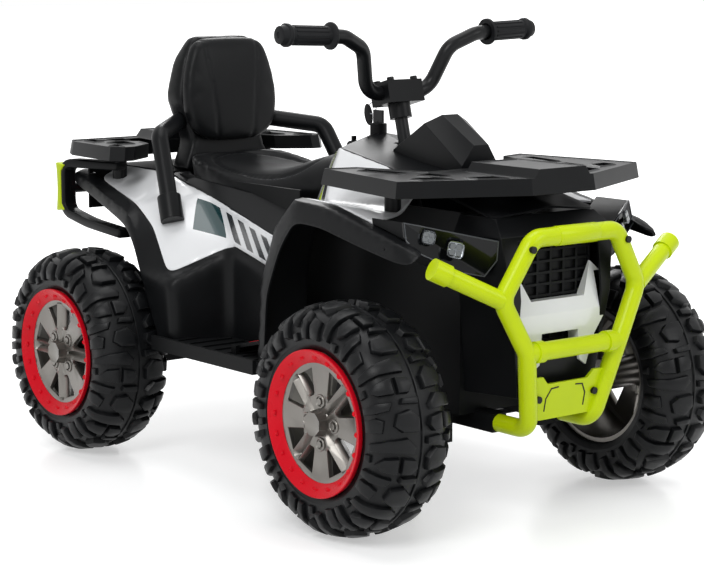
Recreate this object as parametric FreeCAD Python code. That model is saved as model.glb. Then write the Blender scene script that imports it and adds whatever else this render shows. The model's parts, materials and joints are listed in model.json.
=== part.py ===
import FreeCAD
import Part
import math
import os

# Electric kids quad bike. X points forward, Y to the rider's left, Z up.
# The origin is on the floor, under the middle of the wheelbase. Lengths are in millimetres.

# Layout of the whole vehicle
WHEELBASE = 690.0
TRACK = 531.0
BODY_LENGTH = 1000.0
BODY_HALF_WIDTH = 250.0
BODY_HEIGHT = 500.0
SKIN = 3.5
OVERRUN = 5.0
RUN_CLEARANCE = 0.05
STATIC_GAP = 0.3

# Tyres
TYRE_RADIUS = 165.0
TYRE_WIDTH = 121.0
TYRE_WALL = 6.0
LUG_HEIGHT = 10.0
LUG_SINK = 5.0
SEAM_HALF = 1.5
SEAM_HEIGHT = 3.0
TREAD_PITCHES = 14
LUG_DRAFT_SHARE = 0.9
# radius share, half width share, inward step along the radius and along the axle in walls
CARCASS_SHARES = [
    (0.620, 0.93, 0.0, 1.0),
    (0.720, 1.00, 0.0, 1.0),
    (0.815, 0.98, 0.3, 0.95),
    (0.878, 0.86, 0.75, 0.6),
    (0.916, 0.62, 0.95, 0.25),
    (0.935, 0.32, 1.0, 0.0),
    (0.940, 0.00, 1.0, 0.0),
]
# corners along the tread as shares of a pitch, and across as shares of the half width
CENTRE_LUG_SHARES = [(-0.34, 0.06), (0.14, 0.06), (0.32, 0.28), (0.14, 0.50), (-0.24, 0.46)]
SHOULDER_LUG_SHARES = [(-0.10, 0.60), (0.24, 0.56), (0.36, 0.95), (-0.02, 0.95)]
SIDE_LUG_SHARES = [(-0.16, 0.70), (0.12, 0.66), (0.16, 0.95), (-0.14, 0.95)]
SIDE_LUG_SHIFT_SHARE = 0.36

# Rims, bead rings and hub caps
BEAD_RADIUS = 102.0
BEAD_FIT = 0.1
RIM_WALL = 6.0
RIM_BARREL = 104.0
RING_OUTER = 103.4
RING_INNER = 79.0
RING_THICK = 6.0
RING_FACE = 64.0
RING_BOLTS = 16
RING_BOLT_RADIUS = 4.0
RING_BOLT_HEIGHT = 1.6
HUB_RADIUS = 24.0
HUB_INNER = 40.0
HUB_OUTER = 38.0
DISH_RADIUS = 74.0
DISH_THICK = 7.0
WINDOW_COUNT = 8
WINDOW_INNER = 34.0
WINDOW_OUTER = 71.0
WINDOW_ANGLE = 26.0
LUG_BOLT_COUNT = 4
LUG_BOLT_RADIUS = 5.0
LUG_BOLT_CIRCLE = 29.0
LUG_BOLT_HEIGHT = 4.0
CAP_RADIUS = 17.0
CAP_DEPTH = 13.0
CAP_WALL = 3.0
CAP_SIDES = 8

# Axles, nuts, knuckles and tie rod
AXLE_RADIUS = 6.0
AXLE_END = 8.5
NUT_RADIUS = 10.0
NUT_THICK = 6.0
NUT_SIDES = 6
KINGPIN_Y = 165.0
KINGPIN_RADIUS = 8.0
KINGPIN_BOSS = 16.0
EAR_THICK = 16.0
KINGPIN_RISE = 41.0
KINGPIN_DROP = 57.0
STUB_RADIUS = 12.0
ARM_LENGTH = 40.0
ARM_HALF = 9.0
ARM_THICK = 8.0
ARM_DROP = 27.0
ARM_PIN_RADIUS = 4.0
ROD_THICK = 8.0
ROD_HALF = 8.0
STEER_SLACK = 1.2

# Steering column, handlebar, clamp and grips
STEER_TILT = 14.5
COLUMN_FOOT_X = 244.0
COLUMN_FOOT_Z = 150.0
COLUMN_RADIUS = 10.0
COLUMN_LENGTH = 444.0
CRANK_THICK = 6.0
CRANK_HALF = 11.0
CRANK_PIN_LENGTH = 20.0
BAR_RADIUS = 11.0
BAR_BEND = 34.0
CLAMP_WIDTH = 68.0
CLAMP_LENGTH = 44.0
CLAMP_NECK = 17.0
CLAMP_NECK_LENGTH = 22.0
CLAMP_BASE = 18.0
CLAMP_CAP = 16.0
CLAMP_BOLT_SHARE = 0.375
CLAMP_BOLT_RADIUS = 4.0
CLAMP_BOLT_HEAD = 5.5
CLAMP_BOLT_HEIGHT = 5.0
GRIP_RADIUS = 14.5
GRIP_LENGTH = 92.0
GRIP_FLANGE = 19.0
GRIP_FLANGE_THICK = 6.0
GRIP_END = 4.0
BAR_RISE = 95.0
BAR_REACH = 240.0
BAR_FORWARD = 32.0
# along, across and up, as shares of the bar's forward reach, half width and rise
BAR_SHARES = [(0.0, 0.0, 0.0), (0.0, 0.25, 0.0), (0.70, 0.35, 0.72), (1.05, 0.53, 0.92), (0.90, 1.0, 1.0)]

# Tub and footboards
TUB_HALF = 104.0
TUB_WALL = 4.0
TUB_FLOOR = 160.0
TUB_REAR = -430.0
TUB_FRONT = 394.0
TUB_TOP = 446.0
TANK_ROOM_LOW = 396.0
DECK_REAR = -498.0
DECK_FRONT = -322.0
DECK_TOP = 450.0
SEAT_PAN_TOP = 422.0
SEAT_PAN_FRONT = 20.0
BOARD_TOP = 205.0
BOARD_THICK = 15.0
BOARD_REACH = 262.0
BOARD_REAR = -160.0
BOARD_FRONT = 112.0
BOARD_RIM = 7.0
BOARD_RIM_WIDTH = 7.0
TREAD_RIBS = 7
TREAD_RIB_HEIGHT = 2.5
TREAD_RIB_WIDTH = 6.0
AXLE_BOSS = 15.0
EAR_BRACE = 14.0

# Gearing of the rear wheels
GEAR_MODULE = 1.5
GEAR_TEETH = 40
PINION_TEETH = 16
GEAR_WIDTH = 10.0
GEAR_BACKLASH = 0.35
PRESSURE_ANGLE = 20.0
ADDENDUM_SHARE = 0.9
DEDENDUM_SHARE = 1.25
FLANK_STEPS = 4
PINION_ANGLE = 50.0
PINION_SHAFT = 4.0
CASE_REAR = 30.0
CASE_FRONT = 58.0
CASE_LOW = 27.0
CASE_HIGH = 58.0
CASE_WALL = 4.0
CASE_BOSS = 11.0
MOTOR_RADIUS = 20.0
MOTOR_LENGTH = 60.0
BATTERY_LENGTH = 151.0
BATTERY_WIDTH = 98.0
BATTERY_HEIGHT = 96.0
BATTERY_REAR = -190.0

# Corner points of the moulded body, left side, as shares of body length, half width and height
BODY_CORNER_SHARES = {
    "lip_rear": (-0.495, 0.66, 0.894),
    "lip_post": (-0.445, 0.69, 0.866),
    "lip_bend": (-0.290, 0.812, 0.812),
    "lip_knee": (-0.225, 0.852, 0.750),
    "lip_foot": (-0.170, 0.888, 0.610),
    "edge_rear": (-0.512, 0.752, 0.880),
    "edge_post": (-0.430, 0.80, 0.848),
    "edge_bend": (-0.268, 0.92, 0.778),
    "edge_knee": (-0.238, 0.936, 0.700),
    "edge_foot": (-0.226, 0.956, 0.612),
    "drop_rear": (-0.508, 0.76, 0.846),
    "drop_post": (-0.430, 0.81, 0.814),
    "drop_bend": (-0.274, 0.93, 0.744),
    "drop_knee": (-0.248, 0.944, 0.690),
    "block_top": (-0.142, 0.952, 0.594),
    "block_low": (-0.133, 0.956, 0.384),
    "block_rear": (-0.166, 0.964, 0.384),
    "ledge_apex": (-0.106, 0.584, 0.680),
    "ledge_mid": (-0.029, 0.60, 0.644),
    "ledge_front": (0.092, 0.60, 0.590),
    "panel_apex": (-0.106, 0.566, 0.702),
    "panel_mid": (-0.022, 0.584, 0.666),
    "panel_front": (0.090, 0.584, 0.612),
    "wall_apex": (-0.102, 0.592, 0.384),
    "wall_front": (0.092, 0.608, 0.384),
    "inner_rear": (-0.470, 0.45, 0.900),
    "inner_back": (-0.325, 0.45, 0.894),
    "seat_line_rear": (-0.270, 0.46, 0.866),
    "seat_line_mid": (-0.200, 0.50, 0.848),
    "seat_line_front": (-0.120, 0.54, 0.816),
    "seat_line_knee": (0.017, 0.60, 0.756),
    "seat_line_end": (0.090, 0.604, 0.730),
    "skirt_rear": (-0.310, 0.336, 0.900),
    "skirt_back": (-0.262, 0.416, 0.888),
    "skirt_mid": (-0.200, 0.436, 0.880),
    "skirt_front": (-0.110, 0.416, 0.864),
    "skirt_knee": (-0.050, 0.36, 0.856),
    "skirt_end": (0.024, 0.288, 0.850),
    "arch_heel": (0.090, 0.96, 0.410),
    "arch_shin": (0.097, 0.952, 0.660),
    "arch_rise": (0.129, 0.944, 0.824),
    "arch_top": (0.176, 0.944, 0.908),
    "arch_mid": (0.248, 0.944, 0.900),
    "arch_seam": (0.338, 0.952, 0.860),
    "arch_fore": (0.420, 0.96, 0.828),
    "arch_tip": (0.452, 0.94, 0.800),
    "rim_heel": (0.112, 0.968, 0.410),
    "rim_shin": (0.120, 0.968, 0.620),
    "rim_rise": (0.152, 0.968, 0.760),
    "rim_top": (0.188, 0.968, 0.848),
    "rim_mid": (0.250, 0.968, 0.842),
    "rim_seam": (0.336, 0.972, 0.808),
    "rim_fore": (0.416, 0.976, 0.780),
    "rim_tip": (0.448, 0.956, 0.772),
    "crown_top": (0.172, 0.856, 0.912),
    "crown_mid": (0.248, 0.852, 0.906),
    "crown_seam": (0.335, 0.872, 0.870),
    "crown_fore": (0.412, 0.888, 0.838),
    "crown_tip": (0.448, 0.868, 0.810),
    "shin_heel": (0.094, 0.608, 0.410),
    "shin_mid": (0.099, 0.608, 0.660),
    "shin_rise": (0.122, 0.608, 0.824),
    "tank_foot": (0.105, 0.54, 0.874),
    "tank_rear": (0.150, 0.60, 0.886),
    "tank_mid": (0.248, 0.60, 0.888),
    "tank_front": (0.318, 0.60, 0.882),
    "hood_rear": (0.060, 0.256, 1.012),
    "hood_knee": (0.103, 0.36, 1.034),
    "hood_mid": (0.224, 0.368, 0.992),
    "hood_front": (0.300, 0.384, 0.960),
    "hood_nose": (0.455, 0.40, 0.888),
    "ridge_rear": (0.030, 0.0, 0.996),
    "tank_base": (0.026, 0.0, 0.850),
    "ridge_key": (0.084, 0.0, 1.072),
    "ridge_column": (0.150, 0.0, 1.044),
    "ridge_front": (0.300, 0.0, 0.996),
    "ridge_nose": (0.470, 0.0, 0.910),
    "lamp_top_outer": (0.402, 0.876, 0.884),
    "lamp_low_outer": (0.410, 0.884, 0.816),
    "lamp_top_inner": (0.482, 0.38, 0.822),
    "lamp_low_inner": (0.452, 0.46, 0.726),
    "lamp_low_mid": (0.440, 0.60, 0.742),
}
LAMP_DEPTH = 64.0
LENS_THICK = 4.0

# Nose: height share, then rear and front half widths and front reach as shares of the nose sizes
NOSE_REAR = 394.0
NOSE_REACH = 98.0
NOSE_HALF = 118.0
NOSE_LOW = 190.0
NOSE_HEIGHT = 254.0
NOSE_WALL = 4.0
NOSE_SHARES = [
    (0.0, 0.80, 0.62, 0.88), (0.55, 0.90, 0.80, 1.0), (0.90, 1.0, 0.92, 0.90), (1.0, 0.90, 0.80, 0.62)]
GRILLE_HALF = 78.0
GRILLE_LOW = 262.0
GRILLE_HEIGHT = 150.0
GRILLE_DEPTH = 24.0
GRILLE_BAR = 4.0
GRILLE_BAR_DEPTH = 9.0
GRILLE_ROWS = 9
GRILLE_COLUMNS = 6
TRIM_FACE = 489.0
TRIM_HALF = 92.0
TRIM_LOW = 226.0
TRIM_HEIGHT = 146.0
# across as shares of the trim's half width, up as shares of its height
TRIM_SHARES = [(0.0, 0.68), (0.56, 0.68), (0.80, 1.0), (1.0, 0.88), (1.0, 0.52), (0.74, 0.30), (0.56, 0.0),
               (0.42, 0.06), (0.38, 0.36), (0.0, 0.36)]

# Pod in front of the column
POD_REAR = 168.0
POD_LENGTH = 152.0
POD_HALF = 58.0
POD_LOW = 486.0
POD_HEIGHT = 85.0
POD_WALL = 3.0
# along, across and up as shares of the pod's length, half width and height
POD_SHARES = {
    "rear": (0.0, 0.70, 0.34), "shoulder": (0.48, 0.72, 0.86), "front": (0.98, 0.60, 0.18),
    "rear_top": (0.0, 0.26, 0.52), "peak": (0.54, 0.26, 1.0), "front_top": (1.0, 0.24, 0.52),
}

# Dash controls
SWITCH_RADIUS = 13.0
SWITCH_HEIGHT = 12.0
KEY_SHAFT = 3.0
KEY_SHAFT_LENGTH = 16.0
KEY_HALF = 11.0
KEY_THICK = 4.0
KEY_HEAD = 20.0
KEY_X = 84.0
BUTTON_RADIUS = 8.0
BUTTON_HEIGHT = 8.0
BUTTON_STROKE = 3.0
BUTTON_Y = 34.0
BUTTON_X = 66.0
ROCKER_LENGTH = 22.0
ROCKER_HALF = 7.0
ROCKER_HEIGHT = 8.0
TOGGLE_HEIGHT = 7.0
TOGGLE_HALF = 2.0

# Racks
FRONT_RACK_TOP = 499.0
FRONT_RACK_SKIRT = 24.0
FRONT_RACK_LENGTH = 294.0
FRONT_RACK_REAR = 196.0
FRONT_RACK_HALF = 232.0
RACK_PLATE = 5.0
RACK_WALL = 4.0
RACK_TAPER_SHARE = 0.78
FRONT_RACK_RISE = 12.0
# along as shares of the rack's length from its rear end, across as shares of its half width
FRONT_RACK_SHARES = [
    (1.0, 0.0), (1.0, 0.255), (0.72, 1.0), (0.0, 0.83), (0.05, 0.62), (0.44, 0.46), (0.44, 0.0)]
FRONT_CENTRE_SHARES = [(1.0, 0.0), (1.0, 0.245), (0.52, 0.245), (0.52, 0.0)]
FRONT_SLOT_SHARES = [
    [(0.16, 0.66), (0.40, 0.60), (0.42, 0.68), (0.18, 0.74)],
    [(0.50, 0.52), (0.64, 0.50), (0.66, 0.60), (0.52, 0.62)],
    [(0.66, 0.66), (0.76, 0.62), (0.72, 0.80), (0.64, 0.80)],
    [(0.80, 0.34), (0.90, 0.33), (0.84, 0.50), (0.76, 0.50)],
]
REAR_RACK_TOP = 494.0
REAR_RACK_SKIRT = 23.0
REAR_RACK_LENGTH = 182.0
REAR_RACK_REAR = -508.0
REAR_RACK_HALF = 216.0
REAR_RACK_RISE = 12.0
REAR_RACK_SHARES = [(0.0, 0.0), (0.0, 0.88), (0.20, 0.96), (0.90, 1.0), (1.0, 0.92), (1.0, 0.84), (0.80, 0.60),
                    (0.55, 0.54), (0.55, 0.0)]
REAR_CENTRE_SHARES = [(0.0, 0.0), (0.0, 0.30), (0.52, 0.38), (0.52, 0.0)]
REAR_SLOT_SHARES = [
    [(0.18, 0.50), (0.36, 0.54), (0.34, 0.66), (0.16, 0.64)],
    [(0.46, 0.64), (0.66, 0.66), (0.64, 0.80), (0.44, 0.78)],
    [(0.12, 0.74), (0.32, 0.76), (0.34, 0.84), (0.12, 0.82)],
    [(0.72, 0.86), (0.86, 0.86), (0.88, 0.92), (0.74, 0.92)],
]
POST_RADIUS = 12.0
REAR_POST_X = -421.0
FRONT_POST_X = 300.0
POST_Y = 150.0

# Front bumper
BUMPER_RADIUS = 13.0
BUMPER_BEND = 26.0
BUMPER_X = 516.0
BUMPER_HALF = 131.0
BUMPER_LOW = 146.0
BUMPER_HEIGHT = 274.0
BUMPER_DEPTH = 84.0
# back from the bumper plane, across and up as shares of the bumper's depth, half width and height
BUMPER_SHARES = [(1.0, 0.47, 0.0), (0.28, 0.47, 0.0), (0.0, 0.68, 0.42), (0.08, 1.0, 0.70), (0.0, 0.61, 1.0)]
EAR_SHARES = [(0.08, 1.0, 0.70), (0.44, 1.756, 0.88)]
EAR_CAP_RADIUS = 15.5
EAR_CAP_LENGTH = 26.0
SLEEVE_RADIUS = 15.5
SLEEVE_LENGTH = 14.0
PLATE_THICK = 5.0
PLATE_LOW_SHARE = 0.10
PLATE_HIGH_SHARE = 0.66
PLATE_NOTCH_SHARE = 0.56
PLATE_HALF_SHARE = 0.62
PLATE_NOTCH_WIDTH_SHARE = 0.5
HOOP_SCREW_SHARE = (0.0, 0.70, 0.95)

# Rear bumper frame, trims and tail lights
REAR_BUMPER_X = -518.5
REAR_BUMPER_HALF = 195.0
REAR_BUMPER_LOW = 372.0
REAR_TUBE = 9.0
REAR_BEND = 22.0
REAR_ARM_X = -335.0
REAR_ARM_Z = 348.0
REAR_ARM_TOP_X = -405.0
REAR_TOP_Z = 455.0
TRIM_LIME_THICK = 4.0
TRIM_LIME_HALF = 14.0
TAIL_LENGTH = 14.0
TAIL_HALF = 26.0
TAIL_HEIGHT = 18.0
TAIL_Y = 146.0
TAIL_Z = 410.0
VALANCE_X = -470.0
VALANCE_HALF = 180.0
VALANCE_LOW = 380.0

# Seat, backrest and grab rail
SEAT_LENGTH = 330.0
SEAT_REAR = -310.0
SEAT_HALF = 100.5
SEAT_CROWN = 78.0
SEAT_DRAW = 6.0
# along share, half width share, edge height share and crown height share
SEAT_SHARES = [(0.0, 0.72, 0.74, 0.80), (0.15, 0.93, 0.66, 0.45), (0.34, 0.99, 0.45, 0.40), (0.62, 0.92, 0.28, 0.55),
               (0.82, 0.76, 0.20, 0.82), (1.0, 0.56, 0.16, 0.96)]
BACK_LOW = 450.0
BACK_HEIGHT = 220.0
BACK_FRONT = -311.0
BACK_DEPTH = 54.0
BACK_HALF = 97.0
BACK_LEAN = 20.0
BACK_WALL = 4.0
BACK_CHAMFER = 16.0
# height share, half width share, depth share
BACK_SHARES = [(0.0, 0.98, 1.0), (0.22, 0.74, 1.0), (0.54, 1.0, 1.0), (0.82, 0.84, 0.88), (1.0, 0.60, 0.60)]
PAD_LOW = 499.0
PAD_HEIGHT = 166.0
PAD_HALF = 92.0
PAD_THICK = 17.0
PAD_DRAW_SHARE = 0.94
PAD_SEAM_RADIUS = 2.0
PAD_SEAM_LOW_SHARE = 0.24
PAD_SEAM_HIGH_SHARE = 0.34
PAD_FACE_SHARE = 0.93
# height share, half width share, thickness share
PAD_SHARES = [(0.0, 0.64, 0.45), (0.12, 0.84, 0.95), (0.42, 1.0, 1.0), (0.75, 0.82, 0.95), (1.0, 0.55, 0.45)]
RAIL_RADIUS = 14.0
RAIL_BEND = 26.0
RAIL_FOOT_X = -200.0
RAIL_FOOT_Y = 192.0
RAIL_FOOT_Z = 384.0
RAIL_TOP_X = -272.0
RAIL_TOP_Y = 168.0
RAIL_TOP_Z = 516.0
RAIL_END_X = -362.0
RAIL_END_Y = 52.0
RAIL_END_Z = 537.0
SOCK_RADIUS = 19.0
SOCK_LENGTH = 24.0

# Accelerator pedal
PEDAL_LENGTH = 60.0
PEDAL_HALF = 26.0
PEDAL_THICK = 6.0
PEDAL_Y = 200.0
PEDAL_PIVOT_X = 22.0
PEDAL_PIVOT_RADIUS = 3.0
PEDAL_BARREL = 6.0
PEDAL_TILT = 14.0
PEDAL_LIFT = 8.0
PEDAL_LUG_WIDTH = 6.0

# Body screws on the bumper and the fascia
SCREW_RADIUS = 5.0
SCREW_HEIGHT = 2.5

FULL_TURN = 360.0
HALF_TURN = 180.0
HALF_BASE = WHEELBASE / 2
HALF_TRACK = TRACK / 2


def vec(x, y, z):
    return FreeCAD.Vector(x, y, z)


ORIGIN = vec(0, 0, 0)
AXIS_X = vec(1, 0, 0)
AXIS_Y = vec(0, 1, 0)
AXIS_Z = vec(0, 0, 1)
CORNER = {
    name: vec(share[0] * BODY_LENGTH, share[1] * BODY_HALF_WIDTH, share[2] * BODY_HEIGHT)
    for name, share in BODY_CORNER_SHARES.items()
}


def mirrored(shape):
    return shape.mirror(ORIGIN, AXIS_Y)


def flip(point):
    return vec(point.x, -point.y, point.z)


def both_sides(shape):
    return [shape, mirrored(shape)]


def face_of(points):
    return Part.Face(Part.makePolygon(points + points[:1]))


def prism(points, push):
    return face_of(points).extrude(push)


def largest(shape):
    return max(shape.Solids, key=lambda solid: solid.Volume)


def fused(shapes):
    return largest(shapes[0].multiFuse(shapes[1:]).removeSplitter())


def slab(faces, push, points=CORNER):
    """A moulded wall: flat faces between named corners, pushed along one vector and joined."""
    prisms = []
    for names in faces:
        for first, second in zip(names[1:], names[2:]):
            prisms.append(prism([points[names[0]], points[first], points[second]], push))
    if len(prisms) == 1:
        return prisms[0]
    return fused(prisms)


def strip(names_a, names_b):
    """Quads between two rows of named corners."""
    return [(a, b, d, c) for a, b, c, d in zip(names_a, names_a[1:], names_b, names_b[1:])]


def rod(start, end, radius):
    run = end - start
    return Part.makeCylinder(radius, run.Length, start, run)


def block(low, high):
    return Part.makeBox(high.x - low.x, high.y - low.y, high.z - low.z, low)


def turned(profile):
    return face_of([vec(radius, along, 0) for radius, along in profile]).revolve(ORIGIN, AXIS_Y, FULL_TURN)


def tube(points, radius, bend):
    """Round bar along straight runs, with an arc of the bend radius at every corner."""
    edges = []
    start = points[0]
    for before, corner, after in zip(points, points[1:], points[2:]):
        back = (before - corner).normalize()
        ahead = (after - corner).normalize()
        half = back.getAngle(ahead) / 2
        reach = bend / math.tan(half)
        middle = corner + (back + ahead).normalize() * (bend / math.sin(half) - bend)
        edges.append(Part.LineSegment(start, corner + back * reach).toShape())
        edges.append(Part.Arc(corner + back * reach, middle, corner + ahead * reach).toShape())
        start = corner + ahead * reach
    edges.append(Part.LineSegment(start, points[-1]).toShape())
    section = Part.Wire(Part.Circle(points[0], points[1] - points[0], radius).toShape())
    return Part.Wire(edges).makePipeShell([section], True, False)


def ring_points(count, radius, turn=0.0):
    step = FULL_TURN / count
    angles = [math.radians(turn + step * n) for n in range(count)]
    return [(radius * math.cos(angle), radius * math.sin(angle)) for angle in angles]


def spun(shape, count):
    step = FULL_TURN / count
    return [shape.rotated(ORIGIN, AXIS_Y, step * n) for n in range(count)]


def wheel_places(shape):
    """Copies of a wheel piece at the four wheels, outboard side out."""
    placed = {}
    for end, x in (("front", HALF_BASE), ("rear", -HALF_BASE)):
        left = shape.translated(vec(x, HALF_TRACK, AXLE_Z))
        placed[end + "_left"] = left
        placed[end + "_right"] = mirrored(left)
    return placed


PARTS = {}


# Tyre: round hollow carcass open towards the rim, with a raised centre line and staggered blocks of tread
def carcass_radius(across_share):
    """Radius of the carcass where its half width is this share of the whole."""
    crown = CARCASS_SHARES[1:]
    for (low, wide, *rest), (high, narrow, *others) in zip(crown, crown[1:]):
        if narrow <= across_share <= wide:
            return TYRE_RADIUS * (low + (high - low) * (wide - across_share) / (wide - narrow))
    return TYRE_RADIUS


def tread_lug(corner_shares, side, shift):
    """A drafted block whose flat top leans with the carcass from its inner edge to its outer edge."""
    pitch = FULL_TURN / TREAD_PITCHES * math.radians(TYRE_RADIUS)
    half = TYRE_WIDTH / 2
    inner = min(across for along, across in corner_shares)
    outer = max(across for along, across in corner_shares)
    lean = (carcass_radius(outer) - carcass_radius(inner)) / (outer - inner)

    def wire(rise, draft):
        points = []
        for along, across in corner_shares:
            radius = carcass_radius(inner) + lean * (across - inner) + rise
            points.append(vec(along * pitch * draft, side * across * half, -radius))
        return Part.makePolygon(points + points[:1])

    lug = Part.makeLoft([wire(-LUG_SINK, 1.0), wire(LUG_HEIGHT, LUG_DRAFT_SHARE)], True, True)
    return lug.rotated(ORIGIN, AXIS_Y, shift * FULL_TURN / TREAD_PITCHES)


def make_tyre():
    half = TYRE_WIDTH / 2
    outside = []
    inside = []
    for radius, wide, deep_radius, deep_wide in CARCASS_SHARES:
        outside.append((radius * TYRE_RADIUS, wide * half))
        inside.append((radius * TYRE_RADIUS - deep_radius * TYRE_WALL, wide * half - deep_wide * TYRE_WALL))
    far_outside = [(radius, -along) for radius, along in outside[-2::-1]]
    far_inside = [(radius, -along) for radius, along in inside[:-1]]
    carcass = turned(outside + far_outside + far_inside + inside[::-1])
    crown = carcass_radius(0)
    seam = turned([
        (crown - TYRE_WALL / 2, -SEAM_HALF), (crown + SEAM_HEIGHT, -SEAM_HALF),
        (crown + SEAM_HEIGHT, SEAM_HALF), (crown - TYRE_WALL / 2, SEAM_HALF)])
    lugs = []
    for side, shift in ((1, 0.0), (-1, 0.5)):
        for shares in (CENTRE_LUG_SHARES, SHOULDER_LUG_SHARES):
            lugs += spun(tread_lug(shares, side, shift), TREAD_PITCHES)
        lugs += spun(tread_lug(SIDE_LUG_SHARES, side, shift + SIDE_LUG_SHIFT_SHARE), TREAD_PITCHES)
    return fused([carcass, seam] + lugs)


TYRE = make_tyre()
AXLE_Z = -TYRE.BoundBox.ZMin
for place, shape in wheel_places(TYRE).items():
    PARTS["tyre_" + place] = shape


# Rim: barrel, dish with eight windows, hub, wheel bolts, and the cap as a second solid
def make_rim():
    outer = BEAD_RADIUS - BEAD_FIT
    inner = outer - RIM_WALL
    back = RIM_BARREL / 2
    flange = RING_FACE - RING_THICK
    bore = AXLE_RADIUS + RUN_CLEARANCE
    dish = HUB_OUTER - DISH_THICK
    lip = flange - DISH_THICK
    body = turned([
        (bore, -HUB_INNER), (HUB_RADIUS, -HUB_INNER),
        (HUB_RADIUS, dish - DISH_THICK), (DISH_RADIUS, lip - DISH_THICK),
        (inner, lip - DISH_THICK), (inner, -back), (outer, -back), (outer, flange),
        (RING_INNER, flange), (DISH_RADIUS, lip), (HUB_RADIUS, HUB_OUTER), (bore, HUB_OUTER)])
    spread = math.radians(WINDOW_ANGLE / 2)
    window = []
    for radius, side in ((WINDOW_INNER, -1), (WINDOW_OUTER, -1), (WINDOW_OUTER, 1), (WINDOW_INNER, 1)):
        window.append(vec(radius * math.cos(spread), 0, radius * math.sin(spread) * side))
    cut = prism(window, AXIS_Y * (flange + OVERRUN)).rotated(ORIGIN, AXIS_Y, HALF_TURN / WINDOW_COUNT)
    body = body.cut(spun(cut, WINDOW_COUNT))
    bolt_end = HUB_OUTER + LUG_BOLT_HEIGHT
    bolt = rod(vec(LUG_BOLT_CIRCLE, dish, 0), vec(LUG_BOLT_CIRCLE, bolt_end, 0), LUG_BOLT_RADIUS)
    body = fused([body] + spun(bolt, LUG_BOLT_COUNT))
    octagon = [vec(x, HUB_OUTER, z) for x, z in ring_points(CAP_SIDES, CAP_RADIUS, HALF_TURN / CAP_SIDES)]
    cap = prism(octagon, AXIS_Y * CAP_DEPTH)
    room_end = HUB_OUTER + CAP_DEPTH - CAP_WALL
    hollow = rod(vec(0, HUB_OUTER - OVERRUN, 0), vec(0, room_end, 0), CAP_RADIUS - CAP_WALL)
    return Part.makeCompound([body, largest(cap.cut(hollow))])


for place, shape in wheel_places(make_rim()).items():
    PARTS["rim_" + place] = shape


# Bead ring: flat ring on the rim's flange with moulded bolt heads
def make_bead_ring():
    back = RING_FACE - RING_THICK
    ring = turned([(RING_INNER, back), (RING_OUTER, back), (RING_OUTER, RING_FACE), (RING_INNER, RING_FACE)])
    middle = (RING_OUTER + RING_INNER) / 2
    head = rod(vec(middle, back, 0), vec(middle, RING_FACE + RING_BOLT_HEIGHT, 0), RING_BOLT_RADIUS)
    return fused([ring] + spun(head, RING_BOLTS))


for place, shape in wheel_places(make_bead_ring()).items():
    PARTS["bead_ring_" + place] = shape


# Nut on an axle's end, inside the hub cap
def axle_nut(x):
    start = HALF_TRACK + HUB_OUTER + STATIC_GAP
    outline = [vec(x + a, start, AXLE_Z + b) for a, b in ring_points(NUT_SIDES, NUT_RADIUS)]
    nut = prism(outline, AXIS_Y * NUT_THICK)
    bore = rod(vec(x, 0, AXLE_Z), vec(x, HALF_TRACK + RING_FACE, AXLE_Z), AXLE_RADIUS)
    return nut.cut(bore)


# Knuckle: kingpin, boss, stub axle and steering arm; its wheel nut is a second solid
ARM_Z = AXLE_Z - ARM_DROP
ROD_LOW = ARM_Z - ARM_THICK - STATIC_GAP - ROD_THICK
KNUCKLE_FACE = HALF_TRACK - HUB_INNER - STATIC_GAP


def make_knuckle():
    low = AXLE_Z - KINGPIN_DROP
    high = AXLE_Z + KINGPIN_RISE
    pin = rod(vec(HALF_BASE, KINGPIN_Y, low), vec(HALF_BASE, KINGPIN_Y, high), KINGPIN_RADIUS)
    boss_low = low + EAR_THICK + STATIC_GAP
    boss_high = high - EAR_THICK - STATIC_GAP
    boss = rod(vec(HALF_BASE, KINGPIN_Y, boss_low), vec(HALF_BASE, KINGPIN_Y, boss_high), KINGPIN_BOSS)
    stub = rod(vec(HALF_BASE, KINGPIN_Y, AXLE_Z), vec(HALF_BASE, KNUCKLE_FACE, AXLE_Z), STUB_RADIUS)
    end = HALF_TRACK + HUB_OUTER + AXLE_END
    axle = rod(vec(HALF_BASE, KINGPIN_Y, AXLE_Z), vec(HALF_BASE, end, AXLE_Z), AXLE_RADIUS)
    arm_x = HALF_BASE - ARM_LENGTH
    arm = block(
        vec(arm_x, KINGPIN_Y - ARM_HALF, ARM_Z - ARM_THICK), vec(HALF_BASE, KINGPIN_Y + ARM_HALF, ARM_Z))
    eye = rod(vec(arm_x, KINGPIN_Y, ARM_Z - ARM_THICK), vec(arm_x, KINGPIN_Y, ARM_Z), ARM_HALF)
    arm_pin = rod(vec(arm_x, KINGPIN_Y, ROD_LOW), vec(arm_x, KINGPIN_Y, ARM_Z), ARM_PIN_RADIUS)
    return Part.makeCompound([fused([boss, pin, stub, axle, arm, eye, arm_pin]), axle_nut(HALF_BASE)])


PARTS["knuckle_left"] = make_knuckle()
PARTS["knuckle_right"] = mirrored(PARTS["knuckle_left"])


# Column and crank, made upright at the foot and then tilted about it
COLUMN_FOOT = vec(COLUMN_FOOT_X, 0, COLUMN_FOOT_Z)


def tilted(shape):
    return shape.rotated(COLUMN_FOOT, AXIS_Y, -STEER_TILT)


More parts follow.
